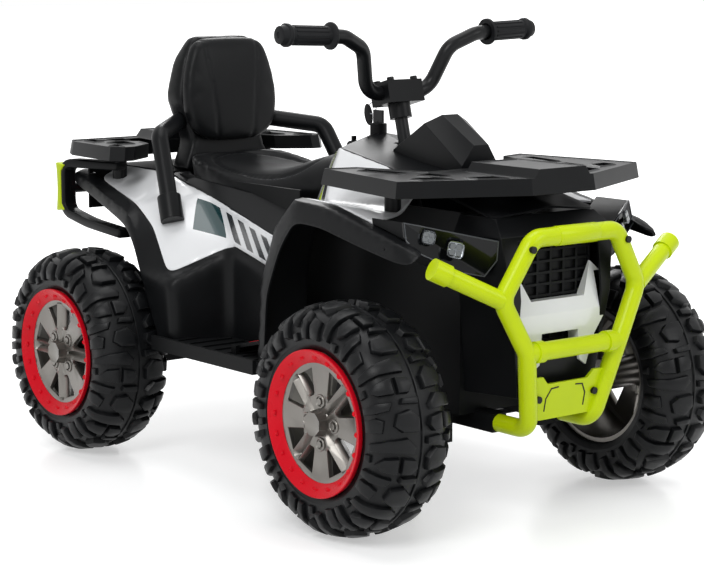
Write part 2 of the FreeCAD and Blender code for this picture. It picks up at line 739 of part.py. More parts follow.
def make_column():
    shaft = rod(COLUMN_FOOT, COLUMN_FOOT + AXIS_Z * COLUMN_LENGTH, COLUMN_RADIUS)
    crank_end = COLUMN_FOOT - AXIS_X * ARM_LENGTH
    low = crank_end + vec(0, -CRANK_HALF, -CRANK_THICK)
    high = COLUMN_FOOT + vec(0, CRANK_HALF, 0)
    eye = rod(crank_end - AXIS_Z * CRANK_THICK, crank_end, CRANK_HALF)
    root = rod(COLUMN_FOOT - AXIS_Z * CRANK_THICK, COLUMN_FOOT, CRANK_HALF)
    pin = rod(crank_end - AXIS_Z * CRANK_PIN_LENGTH, crank_end, ARM_PIN_RADIUS)
    return tilted(fused([shaft, block(low, high), eye, root, pin]))


PARTS["steering_column"] = make_column()


# Tie rod: a bar between the arm pins with a tongue back to the crank pin
def make_tie_rod():
    low = ROD_LOW
    x = HALF_BASE - ARM_LENGTH
    tilt = math.radians(STEER_TILT)
    pin_x = COLUMN_FOOT_X - ARM_LENGTH * math.cos(tilt)
    pin_z = COLUMN_FOOT_Z - ARM_LENGTH * math.sin(tilt)
    middle = low + ROD_THICK / 2
    hole_x = pin_x - (middle - pin_z) * math.tan(tilt)
    bar = block(vec(x - ROD_HALF, -KINGPIN_Y, low), vec(x + ROD_HALF, KINGPIN_Y, low + ROD_THICK))
    tongue = block(vec(hole_x, -ROD_HALF * 2, low), vec(x, ROD_HALF * 2, low + ROD_THICK))
    eye = rod(vec(hole_x, 0, low), vec(hole_x, 0, low + ROD_THICK), ROD_HALF * 2)
    high = low + ROD_THICK
    below = low - OVERRUN
    above = high + OVERRUN
    hole_radius = ARM_PIN_RADIUS + STEER_SLACK + ROD_THICK / 2 * math.tan(tilt)
    ends = []
    holes = [rod(vec(hole_x, 0, below), vec(hole_x, 0, above), hole_radius)]
    for y in (-KINGPIN_Y, KINGPIN_Y):
        ends.append(rod(vec(x, y, low), vec(x, y, high), ROD_HALF + STATIC_GAP))
        holes.append(rod(vec(x, y, below), vec(x, y, above), ARM_PIN_RADIUS + RUN_CLEARANCE))
    return largest(fused([bar, tongue, eye] + ends).cut(holes))


PARTS["tie_rod"] = make_tie_rod()


# Handlebar, clamp and grips, carried on the column's top face
def make_handlebar():
    middle = COLUMN_FOOT + AXIS_Z * (COLUMN_LENGTH + CLAMP_BASE)
    top = tilted(Part.Vertex(middle)).Point
    left = [top + vec(a * BAR_FORWARD, b * BAR_REACH, c * BAR_RISE) for a, b, c in BAR_SHARES]
    points = [vec(point.x, -point.y, point.z) for point in left[:0:-1]] + left[1:]
    return top, points, tube(points, BAR_RADIUS, BAR_BEND)


BAR_MIDDLE, BAR_POINTS, PARTS["handlebar"] = make_handlebar()


def make_clamp():
    top = COLUMN_FOOT + AXIS_Z * COLUMN_LENGTH
    low = top + vec(-CLAMP_LENGTH / 2, -CLAMP_WIDTH / 2, 0)
    split = top.z + CLAMP_BASE
    high = split + CLAMP_CAP
    base = block(low, low + vec(CLAMP_LENGTH, CLAMP_WIDTH, CLAMP_BASE))
    cap = block(low + AXIS_Z * CLAMP_BASE, low + vec(CLAMP_LENGTH, CLAMP_WIDTH, CLAMP_BASE + CLAMP_CAP))
    groove = rod(vec(top.x, -CLAMP_WIDTH, split), vec(top.x, CLAMP_WIDTH, split), BAR_RADIUS + RUN_CLEARANCE)
    neck = rod(top - AXIS_Z * CLAMP_NECK_LENGTH, top, CLAMP_NECK)
    neck = neck.cut(rod(COLUMN_FOOT, top, COLUMN_RADIUS + RUN_CLEARANCE))
    bolts = []
    holes = []
    stem_low = top.z + CLAMP_BASE / 3
    head_high = high + CLAMP_BOLT_HEIGHT
    for x in (top.x - CLAMP_LENGTH * CLAMP_BOLT_SHARE, top.x + CLAMP_LENGTH * CLAMP_BOLT_SHARE):
        for y in (-CLAMP_WIDTH / 3, CLAMP_WIDTH / 3):
            stem = rod(vec(x, y, stem_low), vec(x, y, high), CLAMP_BOLT_RADIUS)
            head = rod(vec(x, y, high), vec(x, y, head_high), CLAMP_BOLT_HEAD)
            socket_low = vec(x, y, head_high - CLAMP_BOLT_HEIGHT / 2)
            socket = rod(socket_low, vec(x, y, head_high + OVERRUN), CLAMP_BOLT_HEAD / 2)
            bolts.append(tilted(fused([stem, head]).cut(socket)))
            hole_radius = CLAMP_BOLT_RADIUS + RUN_CLEARANCE
            holes.append(rod(vec(x, y, stem_low), vec(x, y, high + OVERRUN), hole_radius))
    base = largest(fused([base, neck]).cut([groove] + holes))
    cap = largest(cap.cut([groove] + holes))
    return tilted(base), tilted(cap), Part.makeCompound(bolts)


PARTS["clamp_base"], PARTS["clamp_cap"], PARTS["clamp_bolts"] = make_clamp()


def make_grip():
    end = BAR_POINTS[-1]
    inward = (BAR_POINTS[-2] - end).normalize()
    start = end + inward * (GRIP_LENGTH - GRIP_END)
    sleeve = rod(start, end - inward * GRIP_END, GRIP_RADIUS)
    flange = rod(start, start - inward * GRIP_FLANGE_THICK, GRIP_FLANGE)
    knob = rod(end, end - inward * GRIP_END, (GRIP_RADIUS + GRIP_FLANGE) / 2)
    bore = rod(start + inward * OVERRUN, end, BAR_RADIUS + RUN_CLEARANCE)
    return largest(fused([sleeve, flange, knob]).cut(bore))


PARTS["grip_left"] = make_grip()
PARTS["grip_right"] = mirrored(PARTS["grip_left"])

# Moulded body skins of the left side; the right side is the mirror image
INWARD = vec(0, -SKIN, -SKIN)
FORWARD_WALL = vec(SKIN, 0, 0)
REAR_WALL = vec(-SKIN, 0, 0)

SIDE_PANEL = slab([
    ("inner_rear", "lip_post", "lip_bend", "inner_back"),
    ("inner_back", "lip_bend", "seat_line_rear"),
    ("seat_line_rear", "lip_bend", "seat_line_mid"),
    ("seat_line_mid", "lip_bend", "lip_knee"),
    ("seat_line_mid", "lip_knee", "panel_apex"),
    ("panel_apex", "lip_knee", "lip_foot"),
    ("seat_line_mid", "panel_apex", "seat_line_front"),
    ("seat_line_front", "panel_apex", "panel_mid", "seat_line_knee"),
    ("seat_line_knee", "panel_mid", "panel_front", "seat_line_end"),
], INWARD)

REAR_LIP = ["lip_rear", "lip_post", "lip_bend", "lip_knee", "lip_foot"]
REAR_EDGE = ["edge_rear", "edge_post", "edge_bend", "edge_knee", "edge_foot"]
REAR_DROP = ["drop_rear", "drop_post", "drop_bend", "drop_knee", "edge_foot"]
REAR_SKINS = strip(REAR_LIP, REAR_EDGE) + strip(REAR_EDGE[:-1], REAR_DROP[:-1]) + [
    ("edge_knee", "drop_knee", "edge_foot"),
    ("lip_foot", "edge_foot", "block_top"),
    ("lip_foot", "block_top", "ledge_apex", "panel_apex"),
    ("panel_apex", "ledge_apex", "ledge_mid", "panel_mid"),
    ("panel_mid", "ledge_mid", "ledge_front", "panel_front"),
    ("edge_foot", "block_rear", "block_low", "block_top"),
    ("ledge_apex", "wall_apex", "wall_front", "ledge_mid"),
    ("ledge_mid", "wall_front", "ledge_front"),
]
CORNER_POST = prism(
    [CORNER["wall_apex"] + vec(x, y, 0) for x, y in ((0, 0), (-SKIN, 0), (-SKIN, -SKIN), (0, -SKIN))],
    CORNER["ledge_apex"] - CORNER["wall_apex"])
REAR_FENDER = fused([
    slab(REAR_SKINS, INWARD),
    slab([("block_top", "block_low", "wall_apex", "ledge_apex")], REAR_WALL),
    CORNER_POST,
])
REAR_FENDER = largest(REAR_FENDER.cut(SIDE_PANEL))

ARCH = ["arch_heel", "arch_shin", "arch_rise", "arch_top", "arch_mid", "arch_seam", "arch_fore", "arch_tip"]
ARCH_RIM = ["rim_heel", "rim_shin", "rim_rise", "rim_top", "rim_mid", "rim_seam", "rim_fore", "rim_tip"]
CROWN = ["crown_top", "crown_mid", "crown_seam", "crown_fore", "crown_tip"]
FRONT_PANEL = slab([
    ("crown_top", "crown_mid", "tank_mid", "tank_rear"),
    ("crown_mid", "crown_seam", "tank_front", "tank_mid"),
    ("tank_foot", "tank_rear", "hood_knee", "hood_rear"),
    ("tank_rear", "tank_mid", "hood_mid", "hood_knee"),
    ("tank_mid", "tank_front", "hood_front", "hood_mid"),
], INWARD)
FRONT_FENDER = fused([
    slab(strip(ARCH, ARCH_RIM), INWARD),
    slab(strip(ARCH[3:], CROWN), INWARD),
    slab([("arch_heel", "arch_shin", "shin_mid", "shin_heel"),
          ("arch_shin", "arch_rise", "shin_rise", "shin_mid"),
          ("arch_rise", "arch_top", "crown_top"),
          ("arch_rise", "crown_top", "tank_rear", "shin_rise")], FORWARD_WALL),
])
FRONT_FENDER = largest(FRONT_FENDER.cut([FRONT_PANEL, REAR_FENDER, SIDE_PANEL]))

SKIRT = ["skirt_rear", "skirt_back", "skirt_mid", "skirt_front", "skirt_knee", "skirt_end"]
SEAT_LINE = [
    "inner_back", "seat_line_rear", "seat_line_mid", "seat_line_front", "seat_line_knee", "seat_line_end"]
SKIRT_SKIN = slab(strip(SKIRT, SEAT_LINE) + [
    ("skirt_end", "seat_line_end", "tank_foot"),
    ("tank_foot", "seat_line_end", "shin_rise"),
    ("tank_foot", "shin_rise", "tank_rear"),
], INWARD)
SKIRT_SKIN = largest(SKIRT_SKIN.cut([SIDE_PANEL, FRONT_PANEL, FRONT_FENDER]))

RIDGE = ["ridge_rear", "ridge_key", "ridge_column", "ridge_front", "ridge_nose"]
HOOD_EDGE = ["hood_rear", "hood_knee", "hood_mid", "hood_front", "hood_nose"]
HOOD_SKIN = slab(strip(RIDGE, HOOD_EDGE), vec(0, 0, -SKIN))
TANK_END = slab([("ridge_rear", "hood_rear", "tank_foot", "skirt_end", "tank_base")], FORWARD_WALL)
HOOD_HALF = largest(fused([HOOD_SKIN, TANK_END]).cut([FRONT_PANEL, FRONT_FENDER, SKIRT_SKIN]))
HOOD = fused(both_sides(HOOD_HALF))
COLUMN_HOLE = tilted(rod(COLUMN_FOOT, COLUMN_FOOT + AXIS_Z * COLUMN_LENGTH, COLUMN_RADIUS + STATIC_GAP))
HOOD = largest(HOOD.cut(COLUMN_HOLE))


# Nose: hollow lower front moulding, open to the rear
def nose_loft(wall):
    wires = []
    for up, rear, front, reach in NOSE_SHARES:
        z = NOSE_LOW + wall + up * (NOSE_HEIGHT - 2 * wall)
        x = NOSE_REAR + reach * NOSE_REACH - wall
        back = NOSE_REAR - (OVERRUN if wall else 0)
        points = [vec(back, rear * NOSE_HALF - wall, z), vec(x, front * NOSE_HALF - wall, z)]
        points += [flip(point) for point in points[::-1]]
        wires.append(Part.makePolygon(points + points[:1]))
    return Part.makeLoft(wires, True, True)


NOSE_SOLID = nose_loft(0)
GRILLE_TOP = GRILLE_LOW + GRILLE_HEIGHT
GRILLE_FACE = NOSE_REAR + NOSE_REACH - GRILLE_DEPTH
GRILLE_ROOM = block(vec(GRILLE_FACE, -GRILLE_HALF, GRILLE_LOW), vec(BUMPER_X, GRILLE_HALF, GRILLE_TOP))
FASCIA = largest(NOSE_SOLID.cut([nose_loft(NOSE_WALL), GRILLE_ROOM]))


def make_grille():
    back = GRILLE_FACE - GRILLE_BAR_DEPTH
    low = vec(back, -GRILLE_HALF + STATIC_GAP, GRILLE_LOW + STATIC_GAP)
    high = vec(GRILLE_FACE, GRILLE_HALF - STATIC_GAP, GRILLE_TOP - STATIC_GAP)
    plate = block(low, high)
    wide = (high.y - low.y - GRILLE_BAR) / GRILLE_COLUMNS
    tall = (high.z - low.z - GRILLE_BAR) / GRILLE_ROWS
    holes = []
    for row in range(GRILLE_ROWS):
        for column in range(GRILLE_COLUMNS):
            corner = low + vec(GRILLE_BAR, GRILLE_BAR + column * wide, GRILLE_BAR + row * tall)
            holes.append(block(corner, corner + vec(GRILLE_BAR_DEPTH, wide - GRILLE_BAR, tall - GRILLE_BAR)))
    return largest(plate.cut(holes))


GRILLE = make_grille()


def make_grille_trim():
    half = [vec(TRIM_FACE, a * TRIM_HALF, TRIM_LOW + b * TRIM_HEIGHT) for a, b in TRIM_SHARES]
    points = half + [flip(point) for point in half[-2:0:-1]]
    bar = prism(points, AXIS_X * -(TRIM_FACE - GRILLE_FACE))
    return largest(bar.cut([NOSE_SOLID.cut(GRILLE_ROOM), GRILLE]))


GRILLE_TRIM = make_grille_trim()

# Headlights: a housing behind each smoked lens
LAMP_FACES = [("lamp_top_outer", "lamp_top_inner", "lamp_low_inner", "lamp_low_mid", "lamp_low_outer")]
LAMP_HOUSING = slab(LAMP_FACES, vec(-LAMP_DEPTH, 0, 0))
LAMP_HOUSING = largest(LAMP_HOUSING.cut([NOSE_SOLID, FRONT_FENDER, FRONT_PANEL, HOOD]))
LAMP_LENS = largest(slab(LAMP_FACES, vec(LENS_THICK, 0, 0)).cut([NOSE_SOLID, FRONT_FENDER]))
FASCIA = largest(FASCIA.cut([HOOD, FRONT_FENDER, FRONT_PANEL]))

PARTS["side_panels"] = Part.makeCompound(both_sides(SIDE_PANEL))
PARTS["rear_fenders"] = Part.makeCompound(both_sides(REAR_FENDER))
PARTS["front_fenders"] = Part.makeCompound(both_sides(FRONT_FENDER))
PARTS["front_panels"] = Part.makeCompound(both_sides(FRONT_PANEL))
PARTS["hood"] = HOOD
PARTS["front_fascia"] = FASCIA
PARTS["grille"] = GRILLE
PARTS["grille_trim"] = GRILLE_TRIM
PARTS["headlight_housings"] = Part.makeCompound(both_sides(LAMP_HOUSING))
PARTS["headlight_lenses"] = Part.makeCompound(both_sides(LAMP_LENS))
PARTS["seat_base"] = Part.makeCompound(both_sides(SKIRT_SKIN))


# Pod: faceted hollow visor standing on the hood
def pod_block(wall):
    corner = {}
    for name, (along, across, up) in POD_SHARES.items():
        x = POD_REAR + wall + along * (POD_LENGTH - 2 * wall)
        point = vec(x, across * POD_HALF - wall, POD_LOW - wall + up * POD_HEIGHT)
        corner[name] = point
        corner[name + "_far"] = flip(point)
    left = ["rear", "shoulder", "front"]
    top = ["rear_top", "peak", "front_top"]
    far = [name + "_far" for name in left]
    far_top = [name + "_far" for name in top]
    faces = strip(left, top) + strip(top, far_top) + strip(far_top, far)
    columns = []
    for names in faces:
        for first, second in zip(names[1:], names[2:]):
            upper = [corner[names[0]], corner[first], corner[second]]
            deep = vec(0, 0, -POD_HEIGHT)
            columns.append(prism(upper, deep))
    return fused(columns)


def make_pod():
    floor = slab(strip(RIDGE, HOOD_EDGE), vec(0, 0, -POD_HEIGHT * 2))
    return largest(pod_block(0).cut([pod_block(POD_WALL)] + both_sides(floor) + both_sides(FRONT_PANEL)))


PARTS["dash_pod"] = make_pod()


# Dash controls, standing square to the hood's rear slope
def hood_height(x, y):
    probe = rod(vec(x, y, BODY_HEIGHT / 2), vec(x, y, BODY_HEIGHT * 2), OVERRUN)
    return probe.common(HOOD).BoundBox.ZMax


KEY_Z = hood_height(KEY_X, 0)
SWITCH = rod(vec(KEY_X, 0, KEY_Z - SWITCH_HEIGHT), vec(KEY_X, 0, KEY_Z + SWITCH_HEIGHT), SWITCH_RADIUS)
KEYWAY = rod(vec(KEY_X, 0, KEY_Z), vec(KEY_X, 0, KEY_Z + SWITCH_HEIGHT * 2), KEY_SHAFT + RUN_CLEARANCE)
SWITCH = largest(SWITCH.cut(KEYWAY))
KEY_TOP = KEY_Z + SWITCH_HEIGHT + STATIC_GAP
KEY = fused([
    rod(vec(KEY_X, 0, KEY_TOP - KEY_SHAFT_LENGTH / 2), vec(KEY_X, 0, KEY_TOP + KEY_THICK), KEY_SHAFT),
    block(vec(KEY_X - KEY_HALF, -KEY_THICK / 2, KEY_TOP),
          vec(KEY_X + KEY_HALF, KEY_THICK / 2, KEY_TOP + KEY_HEAD)),
])
HOOD = largest(HOOD.cut(rod(vec(KEY_X, 0, 0), vec(KEY_X, 0, BODY_HEIGHT * 2), SWITCH_RADIUS)))
PARTS["ignition_switch"] = SWITCH
PARTS["ignition_key"] = KEY
BUTTON_Z = hood_height(BUTTON_X, BUTTON_Y)
BUTTON_TOP = BUTTON_Z + BUTTON_STROKE + STATIC_GAP
PARTS["start_button"] = rod(
    vec(BUTTON_X, BUTTON_Y, BUTTON_Z - BUTTON_HEIGHT), vec(BUTTON_X, BUTTON_Y, BUTTON_TOP), BUTTON_RADIUS)
HOOD = largest(HOOD.cut(rod(
    vec(BUTTON_X, BUTTON_Y, 0), vec(BUTTON_X, BUTTON_Y, BODY_HEIGHT * 2), BUTTON_RADIUS + RUN_CLEARANCE)))
ROCKER_Z = hood_height(BUTTON_X, -BUTTON_Y)
ROCKER_ROOM = block(
    vec(BUTTON_X - ROCKER_LENGTH / 2, -BUTTON_Y - ROCKER_HALF, 0),
    vec(BUTTON_X + ROCKER_LENGTH / 2, -BUTTON_Y + ROCKER_HALF, BODY_HEIGHT * 2))
ROCKER_AXIS = ROCKER_Z - ROCKER_HEIGHT / 2
ROCKER = rod(
    vec(BUTTON_X, -BUTTON_Y - ROCKER_HALF + STATIC_GAP, ROCKER_AXIS),
    vec(BUTTON_X, -BUTTON_Y + ROCKER_HALF - STATIC_GAP, ROCKER_AXIS), ROCKER_LENGTH / 2 - STATIC_GAP)
TOGGLE_TOP = ROCKER_AXIS + ROCKER_LENGTH / 2 + TOGGLE_HEIGHT
TOGGLE = block(vec(BUTTON_X - TOGGLE_HALF, -BUTTON_Y - ROCKER_HALF / 2, ROCKER_Z),
               vec(BUTTON_X + TOGGLE_HALF, -BUTTON_Y + ROCKER_HALF / 2, TOGGLE_TOP))
HOOD = largest(HOOD.cut(ROCKER_ROOM))
PARTS["direction_switch"] = fused([ROCKER, TOGGLE])
PARTS["hood"] = HOOD


# Racks: a plate with a skirt below and a raised centre, hollow underneath, on round posts
def rack_outline(shares, start, length, half, z):
    points = [vec(start + a * length, b * half, z) for a, b in shares]
    return points + [flip(point) for point in points[-2:0:-1]]


def make_rack(outline, centre, slots, start, length, half, top, skirt, rise, post_x):
    plate = prism(rack_outline(outline, start, length, half, top - skirt), AXIS_Z * skirt)
    deck = face_of(rack_outline(outline, start, length, half, top - skirt - OVERRUN))
    room = deck.makeOffset2D(-RACK_WALL, 2, False, False, True)
    hollow = room.extrude(AXIS_Z * (skirt + OVERRUN - RACK_PLATE))
    holes = []
    for slot in slots:
        points = [vec(start + a * length, b * half, top - skirt - OVERRUN) for a, b in slot]
        holes += both_sides(prism(points, AXIS_Z * (skirt + 2 * OVERRUN)))
    bump = rack_outline(centre, start, length, half, top - RACK_PLATE)
    peak = [vec(point.x, point.y * RACK_TAPER_SHARE, top + rise) for point in bump]
    raised = Part.makeLoft([Part.makePolygon(bump + bump[:1]), Part.makePolygon(peak + peak[:1])], True, True)
    shape = fused([plate.cut([hollow] + holes), raised])
    posts = []
    for y in (-POST_Y, POST_Y):
        posts.append(rod(vec(post_x, y, top - RACK_PLATE), vec(post_x, y, BODY_HEIGHT / 2), POST_RADIUS))
    shape = fused([shape] + posts)
    skins = both_sides(SIDE_PANEL) + both_sides(FRONT_PANEL)
    skins += both_sides(REAR_FENDER) + both_sides(FRONT_FENDER)
    return largest(shape.cut(skins + [HOOD, PARTS["dash_pod"], FASCIA]))


PARTS["front_rack"] = make_rack(
    FRONT_RACK_SHARES, FRONT_CENTRE_SHARES, FRONT_SLOT_SHARES, FRONT_RACK_REAR, FRONT_RACK_LENGTH,
    FRONT_RACK_HALF, FRONT_RACK_TOP, FRONT_RACK_SKIRT, FRONT_RACK_RISE, FRONT_POST_X)
PARTS["rear_rack"] = make_rack(
    REAR_RACK_SHARES, REAR_CENTRE_SHARES, REAR_SLOT_SHARES, REAR_RACK_REAR, REAR_RACK_LENGTH,
    REAR_RACK_HALF, REAR_RACK_TOP, REAR_RACK_SKIRT, REAR_RACK_RISE, REAR_POST_X)

# Rear axle with its two nuts, drive gears, pinions, gearbox cases, motors and battery
AXLE_REACH = HALF_TRACK + HUB_OUTER + AXLE_END
REAR_AXLE = rod(vec(-HALF_BASE, -AXLE_REACH, AXLE_Z), vec(-HALF_BASE, AXLE_REACH, AXLE_Z), AXLE_RADIUS)
PARTS["rear_axle"] = Part.makeCompound([REAR_AXLE] + both_sides(axle_nut(-HALF_BASE)))
GEAR_FACE_Y = HALF_TRACK - HUB_INNER
CASE_FACE_Y = GEAR_FACE_Y - GEAR_WIDTH - STATIC_GAP
CENTRE_DISTANCE = GEAR_MODULE * (GEAR_TEETH + PINION_TEETH) / 2
PINION_X = -HALF_BASE + CENTRE_DISTANCE * math.cos(math.radians(PINION_ANGLE))
PINION_Z = AXLE_Z + CENTRE_DISTANCE * math.sin(math.radians(PINION_ANGLE))


def make_gear(teeth, turn, x, z, bore):
    """Involute spur gear about an axis along Y, with a tooth centred at the turn angle."""
    pitch = GEAR_MODULE * teeth / 2
    pressure = math.radians(PRESSURE_ANGLE)
    base = pitch * math.cos(pressure)
    tip = pitch + ADDENDUM_SHARE * GEAR_MODULE
    root = pitch - DEDENDUM_SHARE * GEAR_MODULE
    start = max(base, root)
    half = math.pi / (2 * teeth) - GEAR_BACKLASH / (4 * pitch)
    radii = [start + (tip - start) * n / FLANK_STEPS for n in range(FLANK_STEPS + 1)]

    def lean(radius):
        angle = math.acos(min(1.0, base / radius))
        return half + math.tan(pressure) - pressure - math.tan(angle) + angle

    flank = [(root, lean(start))] + [(radius, lean(radius)) for radius in radii]
    points = []
    for tooth in range(teeth):
        middle = math.radians(turn) + 2 * math.pi * tooth / teeth
        sides = [(radius, middle - angle) for radius, angle in flank]
        sides += [(radius, middle + angle) for radius, angle in flank[::-1]]
        for radius, angle in sides:
            points.append(vec(
                x + radius * math.cos(angle), GEAR_FACE_Y - GEAR_WIDTH, z + radius * math.sin(angle)))
    gear = prism(points, AXIS_Y * GEAR_WIDTH)
    if bore:
        gear = gear.cut(rod(vec(x, 0, z), vec(x, AXLE_REACH, z), bore))
    return largest(gear)


DRIVE_GEAR = make_gear(GEAR_TEETH, PINION_ANGLE, -HALF_BASE, AXLE_Z, AXLE_RADIUS + RUN_CLEARANCE)
PINION_TURN = PINION_ANGLE + HALF_TURN + HALF_TURN / PINION_TEETH
SHAFT_START = TUB_HALF - TUB_WALL + STATIC_GAP
PINION = fused([
    make_gear(PINION_TEETH, PINION_TURN, PINION_X, PINION_Z, 0),
    rod(vec(PINION_X, SHAFT_START, PINION_Z),
        vec(PINION_X, GEAR_FACE_Y - GEAR_WIDTH / 2, PINION_Z), PINION_SHAFT),
])


def make_gearbox_case():
    low = vec(-HALF_BASE - CASE_REAR, TUB_HALF, AXLE_Z - CASE_LOW)
    high = vec(-HALF_BASE + CASE_FRONT, CASE_FACE_Y, AXLE_Z + CASE_HIGH)
    wall = vec(CASE_WALL, 0, CASE_WALL)
    room = block(low + wall - AXIS_Y * OVERRUN, high - wall - AXIS_Y * CASE_WALL)
    collars = []
    holes = []
    for x, z, radius in ((-HALF_BASE, AXLE_Z, AXLE_RADIUS), (PINION_X, PINION_Z, PINION_SHAFT)):
        collars.append(rod(vec(x, high.y - CASE_BOSS, z), vec(x, high.y, z), radius + CASE_WALL))
        holes.append(rod(vec(x, 0, z), vec(x, AXLE_REACH, z), radius + RUN_CLEARANCE))
    return largest(fused([block(low, high).cut(room)] + collars).cut(holes))


CASE = make_gearbox_case()
MOTOR_END = TUB_HALF - TUB_WALL
MOTOR = rod(
    vec(PINION_X, MOTOR_END - MOTOR_LENGTH, PINION_Z), vec(PINION_X, MOTOR_END, PINION_Z), MOTOR_RADIUS)
for side, shapes in (("left", lambda shape: shape), ("right", mirrored)):
    PARTS["drive_gear_" + side] = shapes(DRIVE_GEAR)
    PARTS["motor_pinion_" + side] = shapes(PINION)
PARTS["gearbox_cases"] = Part.makeCompound(both_sides(CASE))
PARTS["drive_motors"] = Part.makeCompound(both_sides(MOTOR))
PARTS["battery"] = block(
    vec(BATTERY_REAR, -BATTERY_WIDTH / 2, TUB_FLOOR),
    vec(BATTERY_REAR + BATTERY_LENGTH, BATTERY_WIDTH / 2, TUB_FLOOR + BATTERY_HEIGHT))


# Seat and backrest pad: crowned soft forms with drawn-in sides
def crowned_wire(base, sides, crown):
    """Closed section: a flat base line, two leaning sides and one arc over the top."""
    return Part.Wire([
        Part.LineSegment(base[0], base[1]).toShape(), Part.LineSegment(base[1], sides[1]).toShape(),
        Part.Arc(sides[1], crown, sides[0]).toShape(), Part.LineSegment(sides[0], base[0]).toShape()])


def make_seat():
    wires = []
    for along, wide, edge, crown in SEAT_SHARES:
        x = SEAT_REAR + along * SEAT_LENGTH
        half = wide * SEAT_HALF
        base = [vec(x, side * (half - SEAT_DRAW), SEAT_PAN_TOP) for side in (-1, 1)]
        sides = [vec(x, side * half, SEAT_PAN_TOP + edge * SEAT_CROWN) for side in (-1, 1)]
        wires.append(crowned_wire(base, sides, vec(x, 0, SEAT_PAN_TOP + crown * SEAT_CROWN)))
    return Part.makeLoft(wires, True, False)


PARTS["seat"] = make_seat()


def back_front(z):
    return BACK_FRONT - BACK_LEAN * (z - BACK_LOW) / BACK_HEIGHT


def back_loft(wall):
    wires = []
    for up, wide, deep in BACK_SHARES:
        z = BACK_LOW + up * (BACK_HEIGHT - wall) - (OVERRUN if wall and not up else 0)
        front = back_front(BACK_LOW + up * BACK_HEIGHT)
        rear = front - deep * BACK_DEPTH + wall
        half = wide * BACK_HALF - wall
        points = [
            vec(front - wall, half, z), vec(rear + BACK_CHAMFER, half, z), vec(rear, half - BACK_CHAMFER, z)]
        points += [flip(point) for point in points[::-1]]
        wires.append(Part.makePolygon(points + points[:1]))
    return Part.makeLoft(wires, True, True)


PARTS["backrest"] = largest(back_loft(0).cut(back_loft(BACK_WALL)))


def make_pad():
    wires = []
    for up, wide, thick in PAD_SHARES:
        z = PAD_LOW + up * PAD_HEIGHT
        back = back_front(z) + STATIC_GAP
        half = wide * PAD_HALF
        base = [vec(back, side * half * PAD_DRAW_SHARE, z) for side in (-1, 1)]
        sides = [vec(back + thick * PAD_THICK / 2, side * half, z) for side in (-1, 1)]
        wires.append(crowned_wire(base, sides, vec(back + thick * PAD_THICK, 0, z)))
    pad = Part.makeLoft(wires, True, False)
    face = PAD_THICK * PAD_FACE_SHARE + PAD_SEAM_RADIUS
    top = PAD_LOW + PAD_HEIGHT
    low = vec(back_front(PAD_LOW) + face, PAD_HALF * PAD_SEAM_LOW_SHARE, PAD_LOW)
    high = vec(back_front(top) + face, PAD_HALF * PAD_SEAM_HIGH_SHARE, top)
    return largest(pad.cut(both_sides(rod(low, high, PAD_SEAM_RADIUS * 2))))


PARTS["backrest_pad"] = make_pad()


# Grab rails: on each side a bent tube from a foot on the panel up and into the backrest's shell
def make_grab_rail():
    foot = vec(RAIL_FOOT_X, RAIL_FOOT_Y, RAIL_FOOT_Z)
    top = vec(RAIL_TOP_X, RAIL_TOP_Y, RAIL_TOP_Z)
    rail = tube([foot, top, vec(RAIL_END_X, RAIL_END_Y, RAIL_END_Z)], RAIL_RADIUS, RAIL_BEND)
    rise = (top - foot).normalize()
    sock = rod(foot, foot + rise * (SOCK_LENGTH + SOCK_RADIUS), SOCK_RADIUS)
    left = largest(fused([rail, sock]).cut([SIDE_PANEL, back_loft(0)]))
    return Part.makeCompound(both_sides(left))


PARTS["grab_rail"] = make_grab_rail()


# Front bumper: bent hoop, two ears, crossbar with sleeves, and skid plate
def bumper_point(share):
    back, across, up = share
    return vec(BUMPER_X - back * BUMPER_DEPTH, across * BUMPER_HALF, BUMPER_LOW + up * BUMPER_HEIGHT)


def make_front_bumper():
    left = [bumper_point(share) for share in BUMPER_SHARES]
    pieces = [tube(left + [flip(point) for point in left[::-1]], BUMPER_RADIUS, BUMPER_BEND)]
    joint, end = [bumper_point(share) for share in EAR_SHARES]
    out = (end - joint).normalize()
    pieces += both_sides(rod(joint, end, BUMPER_RADIUS))
    pieces += both_sides(rod(end - out * EAR_CAP_LENGTH, end, EAR_CAP_RADIUS))
    cross = left[2]
    pieces.append(rod(cross, flip(cross), BUMPER_RADIUS))
    sleeve_end = cross - AXIS_Y * SLEEVE_LENGTH
    pieces += both_sides(rod(sleeve_end - AXIS_Y * SLEEVE_LENGTH, sleeve_end, SLEEVE_RADIUS))
    foot = left[1]

    def leg(share, inset_share):
        point = foot + (cross - foot) * share
        return vec(point.x, point.y * inset_share, point.z)

    half = [
        leg(PLATE_LOW_SHARE, 1.0), leg(PLATE_HIGH_SHARE, 1.0),
        leg(PLATE_HIGH_SHARE, PLATE_HALF_SHARE), leg(PLATE_NOTCH_SHARE, PLATE_NOTCH_WIDTH_SHARE)]
    pieces.append(prism(half + [flip(point) for point in half[::-1]], AXIS_X * -PLATE_THICK))
    return fused(pieces), half


PARTS["front_bumper"], PLATE_CORNERS = make_front_bumper()


